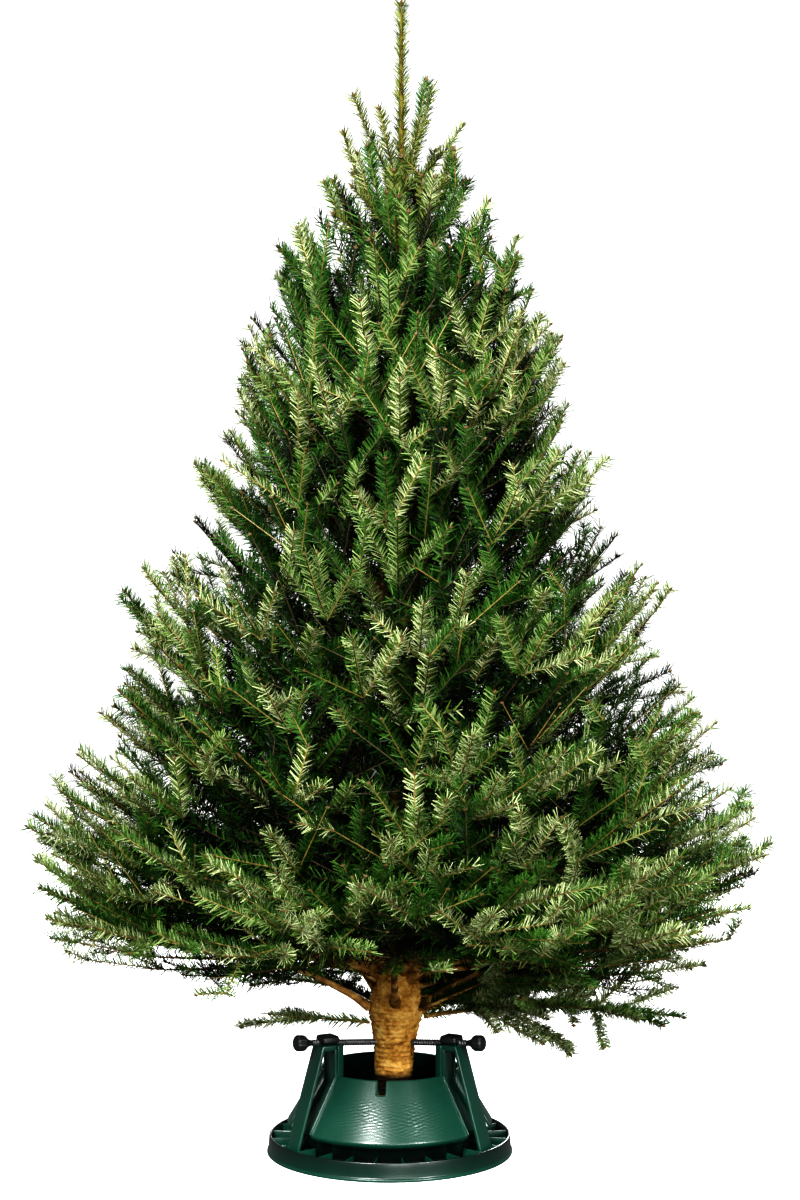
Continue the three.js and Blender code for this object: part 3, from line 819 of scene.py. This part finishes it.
def trunk_piece(bark):
    """The trunk: rings of the CAD trunk's own radius and lean, closer together below the crown. The
    radius is multiplied by 1 plus wrinkles across it, scales, lumps and a knot scar, which is a hollow
    inside a raised rim."""
    low, high = TRUNK_Z[0], TRUNK_Z[-1]
    heights = np.concatenate([np.linspace(low, 0.30, 300), np.linspace(0.303, high, 260)])[:, None]
    angle = np.linspace(0, TAU, 120, endpoint=False)[None, :]
    radius = trunk_radius(heights) + 0 * angle
    wrinkle = waves(angle, heights, 26, (1, 5), (60, 170), 3)
    scales = waves(angle, heights, 30, (5, 22), (20, 120), 4)
    lumps = waves(angle, heights, 8, (1, 3), (2, 9), 5)
    relief = 0.035 * wrinkle + 0.03 * np.maximum(scales, -0.4) + 0.035 * lumps
    knot_aside = turn_between(angle, KNOT_ANGLE) * 34 * MM
    knot = np.hypot(knot_aside, heights - KNOT_HEIGHT) / KNOT_RADIUS
    relief = relief + 0.045 * np.exp(-((knot - 1) ** 2) * 4) - 0.06 * np.exp(-(knot**2) * 3)
    radius = radius * (1 + relief * np.clip((heights - low) / (4 * MM), 0.15, 1))
    centre = axis_at(heights[:, 0])[:, None, :]
    flat = np.stack([radius * np.cos(angle), radius * np.sin(angle), 0 * radius], -1)
    piece("trunk_bark", closed_tube(centre + flat), [bark], ["trunk"])


def bezier(points, t):
    """A cubic curve through control points points[..., 4, 3] at t[...]."""
    t = t[..., None]
    a, b, c, d = (points[..., i, :] for i in range(4))
    return (1 - t) ** 3 * a + 3 * t * (1 - t) ** 2 * b + 3 * t**2 * (1 - t) * c + t**3 * d


def unit(v):
    """Vectors of length 1 in the same directions."""
    return v / np.maximum(np.linalg.norm(v, axis=-1, keepdims=True), 1e-9)


def limb_tube(curve, radius, sides, rough=0.0, seed=0):
    """A limb round a curve[row, 3]: rings square to the curve, with the given radius at each row,
    swollen here and there by waves, as a share rough of the radius."""
    tangent = unit(np.gradient(curve, axis=0))
    side = unit(np.cross(tangent, (0, 0, 1.0)))
    up = np.cross(side, tangent)
    angle = np.linspace(0, TAU, sides, endpoint=False)[None, :]
    along = np.concatenate([[0], np.cumsum(np.linalg.norm(np.diff(curve, axis=0), axis=1))])[:, None]
    swell = 1 + rough * waves(angle, along, 14, (1, 4), (20, 140), seed)
    r = (radius[:, None] * swell)[..., None]
    around = np.cos(angle)[..., None] * side[:, None] + np.sin(angle)[..., None] * up[:, None]
    return closed_tube(curve[:, None] + r * around)


# ------------------------------------------------------------------ how the crown grows

BOUGH_COUNT = 250
GOLDEN_TURN = math.radians(137.508)
YEAR = (0.112, 0.098, 0.085, 0.07)  # a year's growth of a bough, its side limbs, and theirs
SIDE_ANGLE = (38, 54)  # degrees between a side shoot and the limb that bears it
SIDE_SHARE = 0.64  # length of a side shoot over the length of limb beyond it
SIDE_LIMIT = 0.20
SHORTEST = 0.042
FURTHEST_REACH = 1.04  # of the crown's outline
FURTHEST_ORDER = 2
LIFT = (0.06, 0.2)  # a side limb's tip is lifted by a share of its length between these
LOW_DROP = 0.2  # and lowered by this share on the drooping sprays
LOWEST_FOOT = 0.218
FOOT_SUNK = 4 * MM  # a bough's foot lies this deep in the trunk
TOP_SLEEVE = 0.55  # share of needles that stand all round a shoot in the crown's top
FRONT_LIFT = 0.10  # the lowest boughs on the front side stand this much higher
# Slope of a bough, in degrees above level, where its tip stands at a height.
BOUGH_SLOPE = [(0.24, -3), (0.30, 3), (0.40, 13), (0.50, 22), (0.70, 33), (0.90, 42), (1.10, 50), (1.30, 58),
               (1.52, 66)]


# The columns of a shoot's row: where it starts and ends, which way its top faces, its age in years,
# whether it ends in a bud, the share of its needles that stand all round it, and whether it droops.
START, END, TOP = slice(0, 3), slice(3, 6), slice(6, 9)
AGE, TIP, SLEEVE, LOW = 9, 10, 11, 12


class Crown:
    """What has grown: limbs as (curve, length, sides), and one row for each year's shoot."""

    def __init__(self):
        self.limbs = []
        self.rows = []

    def shoot(self, start, end, top, age, tip, sleeve=0, low=0):
        """Adds one year's shoot."""
        self.rows.append((*start, *end, *top, age, tip, sleeve, low))


def sides_of(heading, place, roll=0.0):
    """The side and top of a shoot. Its top is turned to the sky and a little to the trunk."""
    inward = axis_at(np.array(place[2])) - place
    sky = unit(inward * (1, 1, 0)) * 0.35 + (0, 0, 1)
    side = unit(np.cross(heading, sky))
    top = np.cross(side, heading)
    return math.cos(roll) * side + math.sin(roll) * top, math.cos(roll) * top - math.sin(roll) * side


def reach_share(point):
    """How far out a point lies, as a share of the crown's outline at its height."""
    offset = point[:2] - axis_at(np.array(point[2]))[:2]
    return math.hypot(*offset) / outline_at(point[2])


def grow(crown, points, order, low=0):
    """One limb and all that it bears. points are its yearly points from foot to tip. At most of them
    it bears a side shoot to each side, and at some one above or below, or one between two points; the
    nearer the trunk, the fewer."""
    years = len(points) - 1
    lengths = np.linalg.norm(np.diff(points, axis=0), axis=1)
    beyond = np.concatenate([np.cumsum(lengths[::-1])[::-1], [0]])
    for year in range(years):
        start, end = points[year], points[year + 1]
        heading = unit(end - start)
        side, top = sides_of(heading, start, RNG.normal(0, 0.22))
        high = TOP_SLEEVE * np.clip((start[2] - 1.15) / 0.25, 0, 1)
        crown.shoot(start, end, top, years - 1 - year, year == years - 1, max(0.5 * low, high), low)
        if order >= FURTHEST_ORDER:
            continue
        room = beyond[year + 1] + YEAR[order] * 0.62
        share = max(reach_share(end), 0.45 * low)
        for sign in (-1, 1):
            if RNG.random() < min(1.8 * share, 0.95):
                sideways(crown, end, heading, side * sign, top, room, order, low)
        if RNG.random() < (0.5, 0.25)[order] * share:
            upright(crown, end, heading, side, top, room, order, low)
        if RNG.random() < (0.6, 0.25)[order] * share:
            between = start + (end - start) * RNG.uniform(0.35, 0.75)
            room *= RNG.uniform(0.3, 0.6)
            sideways(crown, between, heading, side * RNG.choice((-1, 1)), top, room, order, low)


def sideways(crown, start, heading, side, top, room, order, low):
    """A side shoot close to the limb's own plane."""
    angle = math.radians(RNG.uniform(*SIDE_ANGLE)) * (1.05 - 0.3 * max(heading[2], 0))
    direction = unit(math.cos(angle) * heading + math.sin(angle) * side + RNG.normal(0.08, 0.13) * top)
    length = min(SIDE_SHARE * room * RNG.uniform(0.78, 1.12), SIDE_LIMIT)
    side_limb(crown, start, direction, length, order + 1, low)


def upright(crown, start, heading, side, top, room, order, low):
    """A shorter shoot on the limb's upper side, or now and then below it."""
    angle = math.radians(RNG.uniform(28, 50))
    sign = 1 if RNG.random() < 0.75 else -0.8
    out = sign * top + RNG.uniform(-0.5, 0.5) * side
    direction = unit(math.cos(angle) * heading + math.sin(angle) * out)
    side_limb(crown, start, direction, min(0.55 * room, 0.17) * RNG.uniform(0.7, 1), order + 1, low)


def side_limb(crown, start, direction, length, order, low):
    """Grows a side limb that bends up towards the light, cut short at the crown's outline."""
    lift = RNG.uniform(*LIFT) - LOW_DROP * low
    excess = reach_share(start + direction * length) - 1
    if excess > 0:
        length *= max(0.35, 1 - excess * outline_at(start[2]) / length)
    risen = np.array([0, 0, lift * length])
    if length < SHORTEST or reach_share(start + direction * length + risen) > FURTHEST_REACH:
        return
    years = max(1, round(length / YEAR[order]))
    t = np.linspace(0, 1, years + 1)[:, None]
    points = start + direction * length * t + risen * t * t
    if years > 1:
        crown.limbs.append((points, length * 0.5, 5))
    grow(crown, points, order, low)


def bough_plan():
    """Each bough's tip height, reach, compass angle and foot height. The tips stand at golden turns and
    at even steps of the outline's area, a little closer together towards the top."""
    z = np.linspace(OUTLINE_Z[0], OUTLINE_Z[-1] + 0.03, 400)
    area = np.cumsum((outline_at(z) + 0.03) * (1 + 1.8 * np.clip((z - 1.0) / 0.5, 0, 1)))
    share = (np.arange(BOUGH_COUNT) + 0.5) / BOUGH_COUNT
    tip_z = np.interp(share * area[-1], area, z)
    slope = np.radians(np.interp(tip_z, *np.array(BOUGH_SLOPE).T))
    angle = np.arange(BOUGH_COUNT) * GOLDEN_TURN + RNG.normal(0, 0.12, BOUGH_COUNT)
    reach = outline_at(tip_z) * RNG.uniform(0.93, 1.03, BOUGH_COUNT)
    lowest = LOWEST_FOOT + 0.03 * RNG.random(BOUGH_COUNT)
    foot_z = np.maximum(tip_z - reach * np.tan(slope), lowest)
    before = np.clip(-np.sin(angle), 0, 1) ** 2 * np.clip((0.5 - tip_z) / 0.2, 0, 1)
    return tip_z + FRONT_LIFT * before, reach, angle, foot_z + 0.4 * FRONT_LIFT * before


def towards(angle, slope):
    """A unit vector at a compass angle, rising by slope."""
    return np.array([math.cos(angle) * math.cos(slope), math.sin(angle) * math.cos(slope), math.sin(slope)])


def grow_bough(crown, foot, aim, tip, slope_in, low=0):
    """A bough from foot, setting out along aim, that comes to tip at the given slope: a cubic curve,
    cut into years, with four points to a year for its wood."""
    length = np.linalg.norm(tip - foot)
    outward = tip - foot
    angle = math.atan2(outward[1], outward[0])
    third = length / 3
    control = np.stack([foot, foot + aim * third, tip - towards(angle, slope_in) * third, tip])
    years = max(2, round(length / YEAR[0]))
    curve = bezier(control[None], np.linspace(0, 1, 4 * years + 1))
    crown.limbs.append((curve, length, 9))
    grow(crown, curve[::4], 0, low)


def outwards(angle):
    """A level unit vector at a compass angle."""
    return np.array([math.cos(angle), math.sin(angle), 0])


def grow_boughs(crown):
    """All the planned boughs, each from the trunk's skin up to its tip on the outline."""
    for tip_z, reach, angle, foot_z in zip(*bough_plan()):
        outward = outwards(angle)
        foot = axis_at(np.array(foot_z)) + outward * (trunk_radius(foot_z) - FOOT_SUNK)
        tip = axis_at(np.array(tip_z)) + outward * reach
        slope = math.atan2(tip_z - foot_z, reach)
        grow_bough(crown, foot, towards(angle, slope + 0.16), tip, slope + 0.22)


WHORL_TIPS = (0.40, 0.50, 0.44, 0.38, 0.54)  # the heights of their tips


def grow_whorl(crown):
    """The thick lowest boughs, which leave the trunk where the CAD boughs do."""
    for name, tip_z in zip(WHORL_BOUGHS, WHORL_TIPS):
        foot, knee = ends_of(name)
        outward = unit((knee - foot) * (1, 1, 0))
        foot = foot - outward * FOOT_SUNK
        tip = axis_at(np.array(tip_z)) + outward * outline_at(tip_z) * 0.98
        grow_bough(crown, foot, unit(knee - foot), tip, 0.3)


TOP_WHORL_Z = 1.482
LOW_WHORL_Z = 0.2


def ends_of(name):
    """A long node's ends: the middles of its vertices nearest to, and furthest from, the point of the
    trunk's axis that it springs from."""
    co = vertices_of(name)
    origin = axis_at(np.array(TOP_WHORL_Z if "top_shoot" in name else LOW_WHORL_Z))
    away = np.linalg.norm(co - origin, axis=1)
    return co[away <= away.min() + 3 * MM].mean(0), co[away >= away.max() - 3 * MM].mean(0)


LEADER_YEARS = 3
STEM_NEEDLES_FROM = 1.02


BRUSH_WOOD = (0.12, 6)  # the length and sides that a brush-like shoot's wood is drawn with
BRUSH_SLEEVE = 0.6


def grow_top(crown):
    """The leader and the upswept shoots round its foot, sleeved in needles on every side, and the
    stem below it, which still bears its needles."""
    low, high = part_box("foliage_leader")[0].z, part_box("foliage_leader")[1].z
    backwards = np.array([0, 1.0, 0])
    heights = np.linspace(low - 30 * MM, high - 2 * MM, LEADER_YEARS + 1)
    points = axis_at(heights)
    for number, (start, end) in enumerate(zip(points[:-1], points[1:]), 1):
        crown.shoot(start, end, backwards, 0, number == LEADER_YEARS, 1)
    older = axis_at(np.linspace(STEM_NEEDLES_FROM, heights[0], 5))
    for start, end in zip(older[:-1], older[1:]):
        crown.shoot(start, end, backwards, 1, 0, 0.95)
    foot = axis_at(np.array(TOP_WHORL_Z))
    for name in TOP_SHOOTS:
        tip = ends_of(name)[1]
        outward = tip - foot
        bend = np.array([outward[0], outward[1], 0]) * 0.35
        t = np.linspace(0, 1, 4)[:, None]
        points = foot + outward * t + bend * (t - t * t)
        crown.limbs.append((points, *BRUSH_WOOD))
        for number, (start, end) in enumerate(zip(points[:-1], points[1:])):
            top = sides_of(unit(end - start), start)[1]
            crown.shoot(start, end, top, 0, number == 2, BRUSH_SLEEVE)


UPSWEPT_COUNT = 15
UPSWEPT_TIP = 1.575
UPSWEPT_FOOT = 1.42


def grow_upswept(crown):
    """The brush-like shoots that stand steeply round the stem below the top whorl, at golden turns, each
    a little lower and a little further out than the one before. Each bears two side shoots."""
    for number in range(UPSWEPT_COUNT):
        down = number / (UPSWEPT_COUNT - 1)
        angle = number * GOLDEN_TURN + 0.9
        outward = outwards(angle)
        foot = axis_at(np.array(UPSWEPT_FOOT - 0.16 * down)) + outward * 6 * MM
        tip_z = UPSWEPT_TIP - 0.15 * down + RNG.uniform(-0.015, 0.015)
        tip = axis_at(np.array(tip_z)) + outward * (0.085 + 0.075 * down)
        t = np.linspace(0, 1, 4)[:, None]
        points = foot + (tip - foot) * t + outward * 0.05 * (t - t * t)
        crown.limbs.append((points, *BRUSH_WOOD))
        for part, (start, end) in enumerate(zip(points[:-1], points[1:])):
            heading = unit(end - start)
            side, top = sides_of(heading, start)
            crown.shoot(start, end, top, 0, part == 2, BRUSH_SLEEVE)
            if part == 0:
                for sign in (-1, 1):
                    sideways(crown, end, heading, side * sign, top, 0.11, 0, 0)


LOW_TWIGS = 16
LOW_TWIG_SIDES = (math.radians(5), math.radians(35), math.radians(95))  # the directions they gather round
LOW_TWIG_REACH = (0.2, 0.44)
FRONT_SPRAYS = (math.radians(-13), math.radians(-5))  # two short drooping sprays between knob and crown


def grow_low(crown):
    """The two drooping sprays under the crown, on their thin bare branches, and thinner ones like them
    to the right and behind."""
    for number in range(LOW_TWIGS):
        angle = LOW_TWIG_SIDES[number % 3] + RNG.uniform(-0.6, 0.6)
        outward = outwards(angle)
        foot_z, tip_z = RNG.uniform(0.212, 0.25), RNG.uniform(0.215, 0.28)
        foot = axis_at(np.array(foot_z)) + outward * (trunk_radius(foot_z) - 3 * MM)
        tip = axis_at(np.array(tip_z)) + outward * RNG.uniform(*LOW_TWIG_REACH)
        grow_bough(crown, foot, towards(angle, RNG.uniform(0.1, 0.4)), tip, RNG.uniform(-0.5, 0), 1)
    for number, angle in enumerate(FRONT_SPRAYS):
        outward = outwards(angle)
        foot = axis_at(np.array(0.24)) + outward * 0.03
        tip = axis_at(np.array(0.19 - 0.012 * number)) + outward * (0.20 + 0.05 * number)
        grow_bough(crown, foot, towards(angle, 0.1), tip, -0.7, 1)
    for side in ("left", "right"):
        foot = ends_of(f"low_branch_{side}")[0]
        tip = ends_of(f"foliage_low_{side}")[1]
        length = np.linalg.norm(tip - foot)
        years = max(2, round(length / YEAR[0]))
        t = np.linspace(0, 1, 4 * years + 1)[:, None]
        curve = foot + (tip - foot) * t + np.array([0, 0, 0.16 * length]) * (t - t * t)
        crown.limbs.append((curve, length * 0.7, 7))
        grow(crown, curve[::4], 0, 1)


# ------------------------------------------------------------------ needles, twigs and buds

NEEDLE_TOTAL = 400000  # before sleeves and outer shoots are given more
PIECE_NEEDLES = 92000
NEEDLE_LENGTH = 17.8 * MM
NEEDLE_WIDTH = 1.8 * MM
NEEDLE_TWIST = math.radians(48)
PALE_SHARE = 0.5  # of a spray's needles show their paler underside
BRUSH_SHARE = 0.55  # of an outer shoot's needles stand all round it
BARE_SHARE = 0.14  # within this share of the outline limbs are bare
COARSE_SHARE = 0.64  # and within this one needles are fewer and wider
COARSE_SPACING = 2.7
COARSE_LENGTH = 1.2
COARSE_WIDTH = 1.8
OUTER_SHARE = 0.88  # beyond this share of the outline needles stand closer together
FORWARD = (57, 8)  # degrees between a needle and its shoot: the mean and the spread
TIP_FORWARD = 7  # degrees less at a shoot's tip
FLAT_SHARE = 0.72  # of the needles lie near the shoot's plane, and the others stand up from it
FLAT_RAISE = (12, 13)  # degrees off the shoot's plane: the mean and the spread
STEEP_RAISE = (52, 20)
ROUND_RAISE = (-90, 130)  # the range of a needle that may stand anywhere


def depth_of(rows):
    """How far out each shoot lies, as a share of the outline; all of the narrow top counts as outside."""
    middle = (rows[:, START] + rows[:, END]) / 2
    radius = np.hypot(*(middle[:, :2] - axis_at(middle[:, 2])[:, :2]).T)
    # the low sprays count as outside, which also gives them the bright tints of painted light
    outer = np.maximum(np.clip((middle[:, 2] - 1.2) * 3, 0, 0.85), rows[:, LOW])
    return np.maximum(radius / outline_at(middle[:, 2]), outer)


def needles_on(rows, depth, spacing):
    """Needles of many shoots at once. Each stands at its place along the shoot, to the left or right in
    turn, leans forward by an angle that sharpens towards the tip, and is raised off the shoot's plane by
    a random angle, which in a sleeve is any angle at all. Gives each needle's foot, direction, face
    direction, length, width and shoot."""
    start, end, up = rows[:, START], rows[:, END], rows[:, TOP]
    tip, sleeve = rows[:, TIP], rows[:, SLEEVE]
    length = np.linalg.norm(end - start, axis=1)
    coarse = depth < COARSE_SHARE
    crowd = np.where(coarse, 1 / COARSE_SPACING, 1 + 1.5 * sleeve + 0.8 * (depth > OUTER_SHARE))
    count = np.maximum(3, (length / spacing * crowd).astype(int))
    owner = np.repeat(np.arange(len(rows)), count)
    number = np.arange(count.sum()) - np.repeat(np.cumsum(count) - count, count)
    total = len(owner)
    t = (number + RNG.random(total)) / count[owner]
    heading, top = unit(end - start)[owner], up[owner]
    side = np.cross(heading, top) * np.where(number % 2 == 0, 1, -1)[:, None]
    raised = np.where(RNG.random(total) < FLAT_SHARE, RNG.normal(*FLAT_RAISE, total),
                      RNG.normal(*STEEP_RAISE, total))
    drooping = 0.25 * np.clip((0.75 - start[:, 2]) / 0.35, 0, 1)
    brush = BRUSH_SHARE * np.clip((depth - 0.78) / 0.12, 0, 1)
    inner = np.where(coarse, 0.6, 0.12 * rows[:, AGE])
    around = np.maximum.reduce([sleeve, drooping, inner, brush])[owner]
    raised = np.radians(np.where(RNG.random(total) < around, RNG.uniform(*ROUND_RAISE, total), raised))
    forward = RNG.normal(*FORWARD, total) - TIP_FORWARD * np.clip((t - 0.8) * 5, 0, 1) * tip[owner]
    forward = np.radians(forward * (1 - 0.25 * sleeve[owner]))
    out = np.cos(raised)[:, None] * side + np.sin(raised)[:, None] * top
    direction = unit(np.cos(forward)[:, None] * heading + np.sin(forward)[:, None] * out)
    normal = np.cos(raised)[:, None] * top - np.sin(raised)[:, None] * side
    normal = normal + 0.2 * RNG.normal(size=(total, 3))
    normal = unit(normal - (normal * direction).sum(1)[:, None] * direction)
    size = RNG.uniform(0.86, 1.1, total) * (0.74 + 0.26 * np.sin(np.pi * np.clip(t, 0.1, 0.6)))
    size = size * (1 - 0.06 * sleeve[owner]) * np.where(coarse[owner], COARSE_LENGTH, 1)
    width = NEEDLE_WIDTH * np.where(coarse[owner], COARSE_WIDTH, 1.0) * RNG.uniform(0.9, 1.1, total)
    base = start[owner] + (end - start)[owner] * t[:, None]
    stem = np.where(sleeve[owner] > 0.9, trunk_radius(base[:, 2]) - 0.5 * MM, 0.6 * MM)
    return base + out * stem[:, None], direction, normal, NEEDLE_LENGTH * size, width, owner


def needle_blades(base, direction, normal, length, width):
    """Needles as flat blunt blades of two faces. The foot edge lies across the needle; the tip edge is
    narrower and turned about the needle's length, so that a blade shows from every side."""
    across = np.cross(normal, direction)
    turned = math.cos(NEEDLE_TWIST) * across + math.sin(NEEDLE_TWIST) * normal
    foot, tip = across * (0.42 * width)[:, None], turned * (0.26 * width)[:, None]
    end = base + direction * length[:, None]
    corners = np.stack([base - foot, base + foot, end + tip, end - tip], 1)
    faces = (np.arange(len(base)) * 4)[:, None, None] + np.array([(0, 1, 2), (0, 2, 3)])
    return corners.reshape(-1, 3), faces.reshape(-1, 3)


def twig_solids(rows):
    """A four-sided tapering twig, closed at both ends, for each shoot, thicker with its age."""
    start, end, up, age = rows[:, START], rows[:, END], rows[:, TOP], rows[:, AGE]
    side = np.cross(unit(end - start), up)
    foot = (1.0 + 0.5 * age) * MM
    head = (0.7 + 0.5 * np.maximum(age - 1, 0)) * MM
    angle = np.arange(4) * np.pi / 2
    around = np.cos(angle)[None, :, None] * side[:, None] + np.sin(angle)[None, :, None] * up[:, None]
    ring_low = start[:, None] + around * foot[:, None, None]
    ring_high = end[:, None] + around * head[:, None, None]
    rings = np.stack([ring_low, ring_high], 1)
    low, high = np.arange(4), np.arange(4) + 4
    low_next, high_next = np.roll(low, -1), np.roll(high, -1)
    pattern = np.concatenate([np.stack([low, low_next, high_next], 1), np.stack([low, high_next, high], 1),
                              [(0, 2, 1), (0, 3, 2), (4, 5, 6), (4, 6, 7)]])
    faces = (np.arange(len(rows)) * 8)[:, None, None] + pattern
    return rings.reshape(-1, 3), faces.reshape(-1, 3)


BUD_RADIUS = (1.6 * MM, 2.1 * MM, 1.6 * MM)  # the left, middle and right bud


def bud_solids(rows):
    """Three buds at each tip, the middle one ahead: each two pyramids foot to foot, longer ahead."""
    rows = rows[rows[:, TIP] > 0]
    end, up = rows[:, END], rows[:, TOP]
    heading = unit(end - rows[:, START])
    side = np.cross(heading, up)
    around = [(2 + i, 2 + (i + 1) % 4) for i in range(4)]
    pattern = np.array([(0, b, a) for a, b in around] + [(1, a, b) for a, b in around])
    faces = ((np.arange(len(rows)) * 6)[:, None, None] + pattern).reshape(-1, 3)
    parts = []
    for turn, mean in zip((-1, 0, 1), BUD_RADIUS):
        radius = mean * (RNG.uniform(0.8, 1.2, len(rows)) + 0.8 * rows[:, SLEEVE])[:, None]
        ahead = unit(heading + 0.9 * turn * side)
        place = end + ahead * radius * 0.8
        across = np.cross(ahead, up)
        ring = [place + radius * (math.cos(a) * across + math.sin(a) * up) for a in np.arange(4) * np.pi / 2]
        corners = np.stack([place - ahead * radius * 1.3, place + ahead * radius * 2.2, *ring], 1)
        parts.append((corners.reshape(-1, 3), faces))
    return joined(parts)


TINTS = [  # colours of a spray's needles: upper face, underside, from dark to bright; the darkest are painted shade deep in the crown
    ((0.001, 0.005, 0.001), (0.004, 0.013, 0.002)),
    ((0.003, 0.020, 0.001), (0.013, 0.044, 0.005)),
    ((0.009, 0.048, 0.004), (0.052, 0.122, 0.020)),
    ((0.029, 0.080, 0.007), (0.170, 0.238, 0.080)),
    ((0.058, 0.105, 0.012), (0.335, 0.385, 0.195)),
    ((0.028, 0.050, 0.006), (0.150, 0.175, 0.042)),
]
OLIVE_TINT = 5


def needle_finishes():
    """The finishes of the tints, in pairs: upper face, underside."""
    finishes = []
    for number, (upper, under) in enumerate(TINTS, 1):
        finishes.append(plain(f"needle_upper_{number}", upper, 0.4, 0.18))
        finishes.append(plain(f"needle_under_{number}", under, 0.6, 0.1))
    return finishes


def tints_and_painted_shade_of(rows, depth):
    """Which colours each shoot's needles take: painted shade makes them dark inside the crown, brighter
    outwards, and darker again at the very outline, while painted light makes the low drooping sprays bright;
    they are brighter on younger shoots, by chance a step or so off that, and olive round the top."""
    # painted shade and light: the tint follows the shoot's depth in the crown, darkens again at the outline,
    # and leaves the low sprays bright
    score = 3.9 * np.clip((depth - 0.48) / 0.42, 0, 1) ** 1.6 - 0.6 * np.minimum(rows[:, AGE], 3)
    score = score - 2.3 * np.clip((depth - 0.91) / 0.09, 0, 1) * (1 - rows[:, LOW])
    score = np.clip(np.round(score + RNG.normal(0, 1.1, len(rows))), 0, OLIVE_TINT - 1)
    near_top = np.clip((rows[:, START][:, 2] - 1.36) / 0.12, 0, 1)
    olive = (rows[:, SLEEVE] > 0.9) | (RNG.random(len(rows)) < 0.75 * near_top)
    return np.where(olive, OLIVE_TINT, score).astype(int)


TWIG_TRIANGLES = 12
OLDER_TWIGS = 0.78  # a shoot is older wood within this share of the outline
BUDS_FROM = 0.72  # and bears buds beyond this one


def foliage(crown):
    """Needles, twigs and buds of all that has grown. The needles go up the tree from piece to piece,
    each in place of its share of the CAD masses."""
    rows = np.array(crown.rows, float)
    rows = rows[np.argsort(rows[:, START][:, 2])]
    all_depth = depth_of(rows)
    needled = (all_depth > BARE_SHARE) & (rows[:, AGE] < 4)
    bearing, depth = rows[needled], all_depth[needled]
    length = np.linalg.norm(bearing[:, END] - bearing[:, START], axis=1)
    effective = (length / np.where(depth < COARSE_SHARE, COARSE_SPACING, 1)).sum()
    *shape, owner = needles_on(bearing, depth, effective / NEEDLE_TOTAL)
    tint = tints_and_painted_shade_of(bearing, depth)[owner]
    pale = (RNG.random(len(owner)) < PALE_SHARE).astype(int)
    finishes = needle_finishes()
    pieces = int(np.ceil(len(owner) / PIECE_NEEDLES))
    nodes = np.array_split(np.array(FOLIAGE_NODES), pieces)
    for number, which in enumerate(np.array_split(np.arange(len(owner)), pieces)):
        index = np.repeat(tint[which] * 2 + pale[which], 2)
        blades = needle_blades(*(values[which] for values in shape))
        piece(f"needles_{number + 1}", blades, finishes, list(nodes[number]), index, smooth=False)
    young = plain("young_twig", (0.21, 0.140, 0.036), 0.6)
    older = plain("older_twig", (0.055, 0.036, 0.014), 0.75)
    is_older = (rows[:, AGE] > 0) | (all_depth < OLDER_TWIGS)
    index = np.repeat(is_older.astype(int), TWIG_TRIANGLES)
    piece("twigs", twig_solids(rows), [young, older], [], index, smooth=False)
    bud = plain("bud", (0.088, 0.052, 0.012), 0.6)
    piece("buds", bud_solids(rows[all_depth > BUDS_FROM]), [bud], [], smooth=False)


def limbs(crown, finish):
    """Every limb older than a year as a tapering tube. Its radius is a thin tip's, plus a share of the
    limb's length that falls in a straight line from the foot, plus a swelling that dies away from it."""
    parts = []
    for number, (curve, length, sides) in enumerate(crown.limbs):
        along = np.linspace(0, 1, len(curve))
        taper = 0.0115 * np.clip(0.82 - along, 0, 1)
        swelling = 0.006 * np.exp(-along * length / 0.02)
        parts.append(limb_tube(curve, 0.6 * MM + (taper + swelling) * length, sides, 0.07, number))
    nodes = WHORL_BOUGHS + ["low_branch_left", "low_branch_right"]
    piece("boughs", joined(parts), [finish], nodes)


def lay_floor():
    """A level white floor, which shows white without lighting the tree from below."""
    half = 6
    corners = [(-half, -half, 0), (half, -half, 0), (half, half, 0), (-half, half, 0)]
    mesh = bpy.data.meshes.new("floor")
    mesh.from_pydata(corners, [], [(0, 1, 2, 3)])
    mesh.materials.append(floor_finish())
    floor = bpy.data.objects.new("floor", mesh)
    bpy.context.scene.collection.objects.link(floor)
    floor.visible_diffuse = False
    floor.visible_glossy = False


# ------------------------------------------------------------------ build

set_camera()
set_light()
build_stand()
bark = bark_finish()
trunk_piece(bark)
crown = Crown()
grow_boughs(crown)
grow_whorl(crown)
grow_top(crown)
grow_upswept(crown)
grow_low(crown)
limbs(crown, bough_finish())
foliage(crown)
lay_floor()
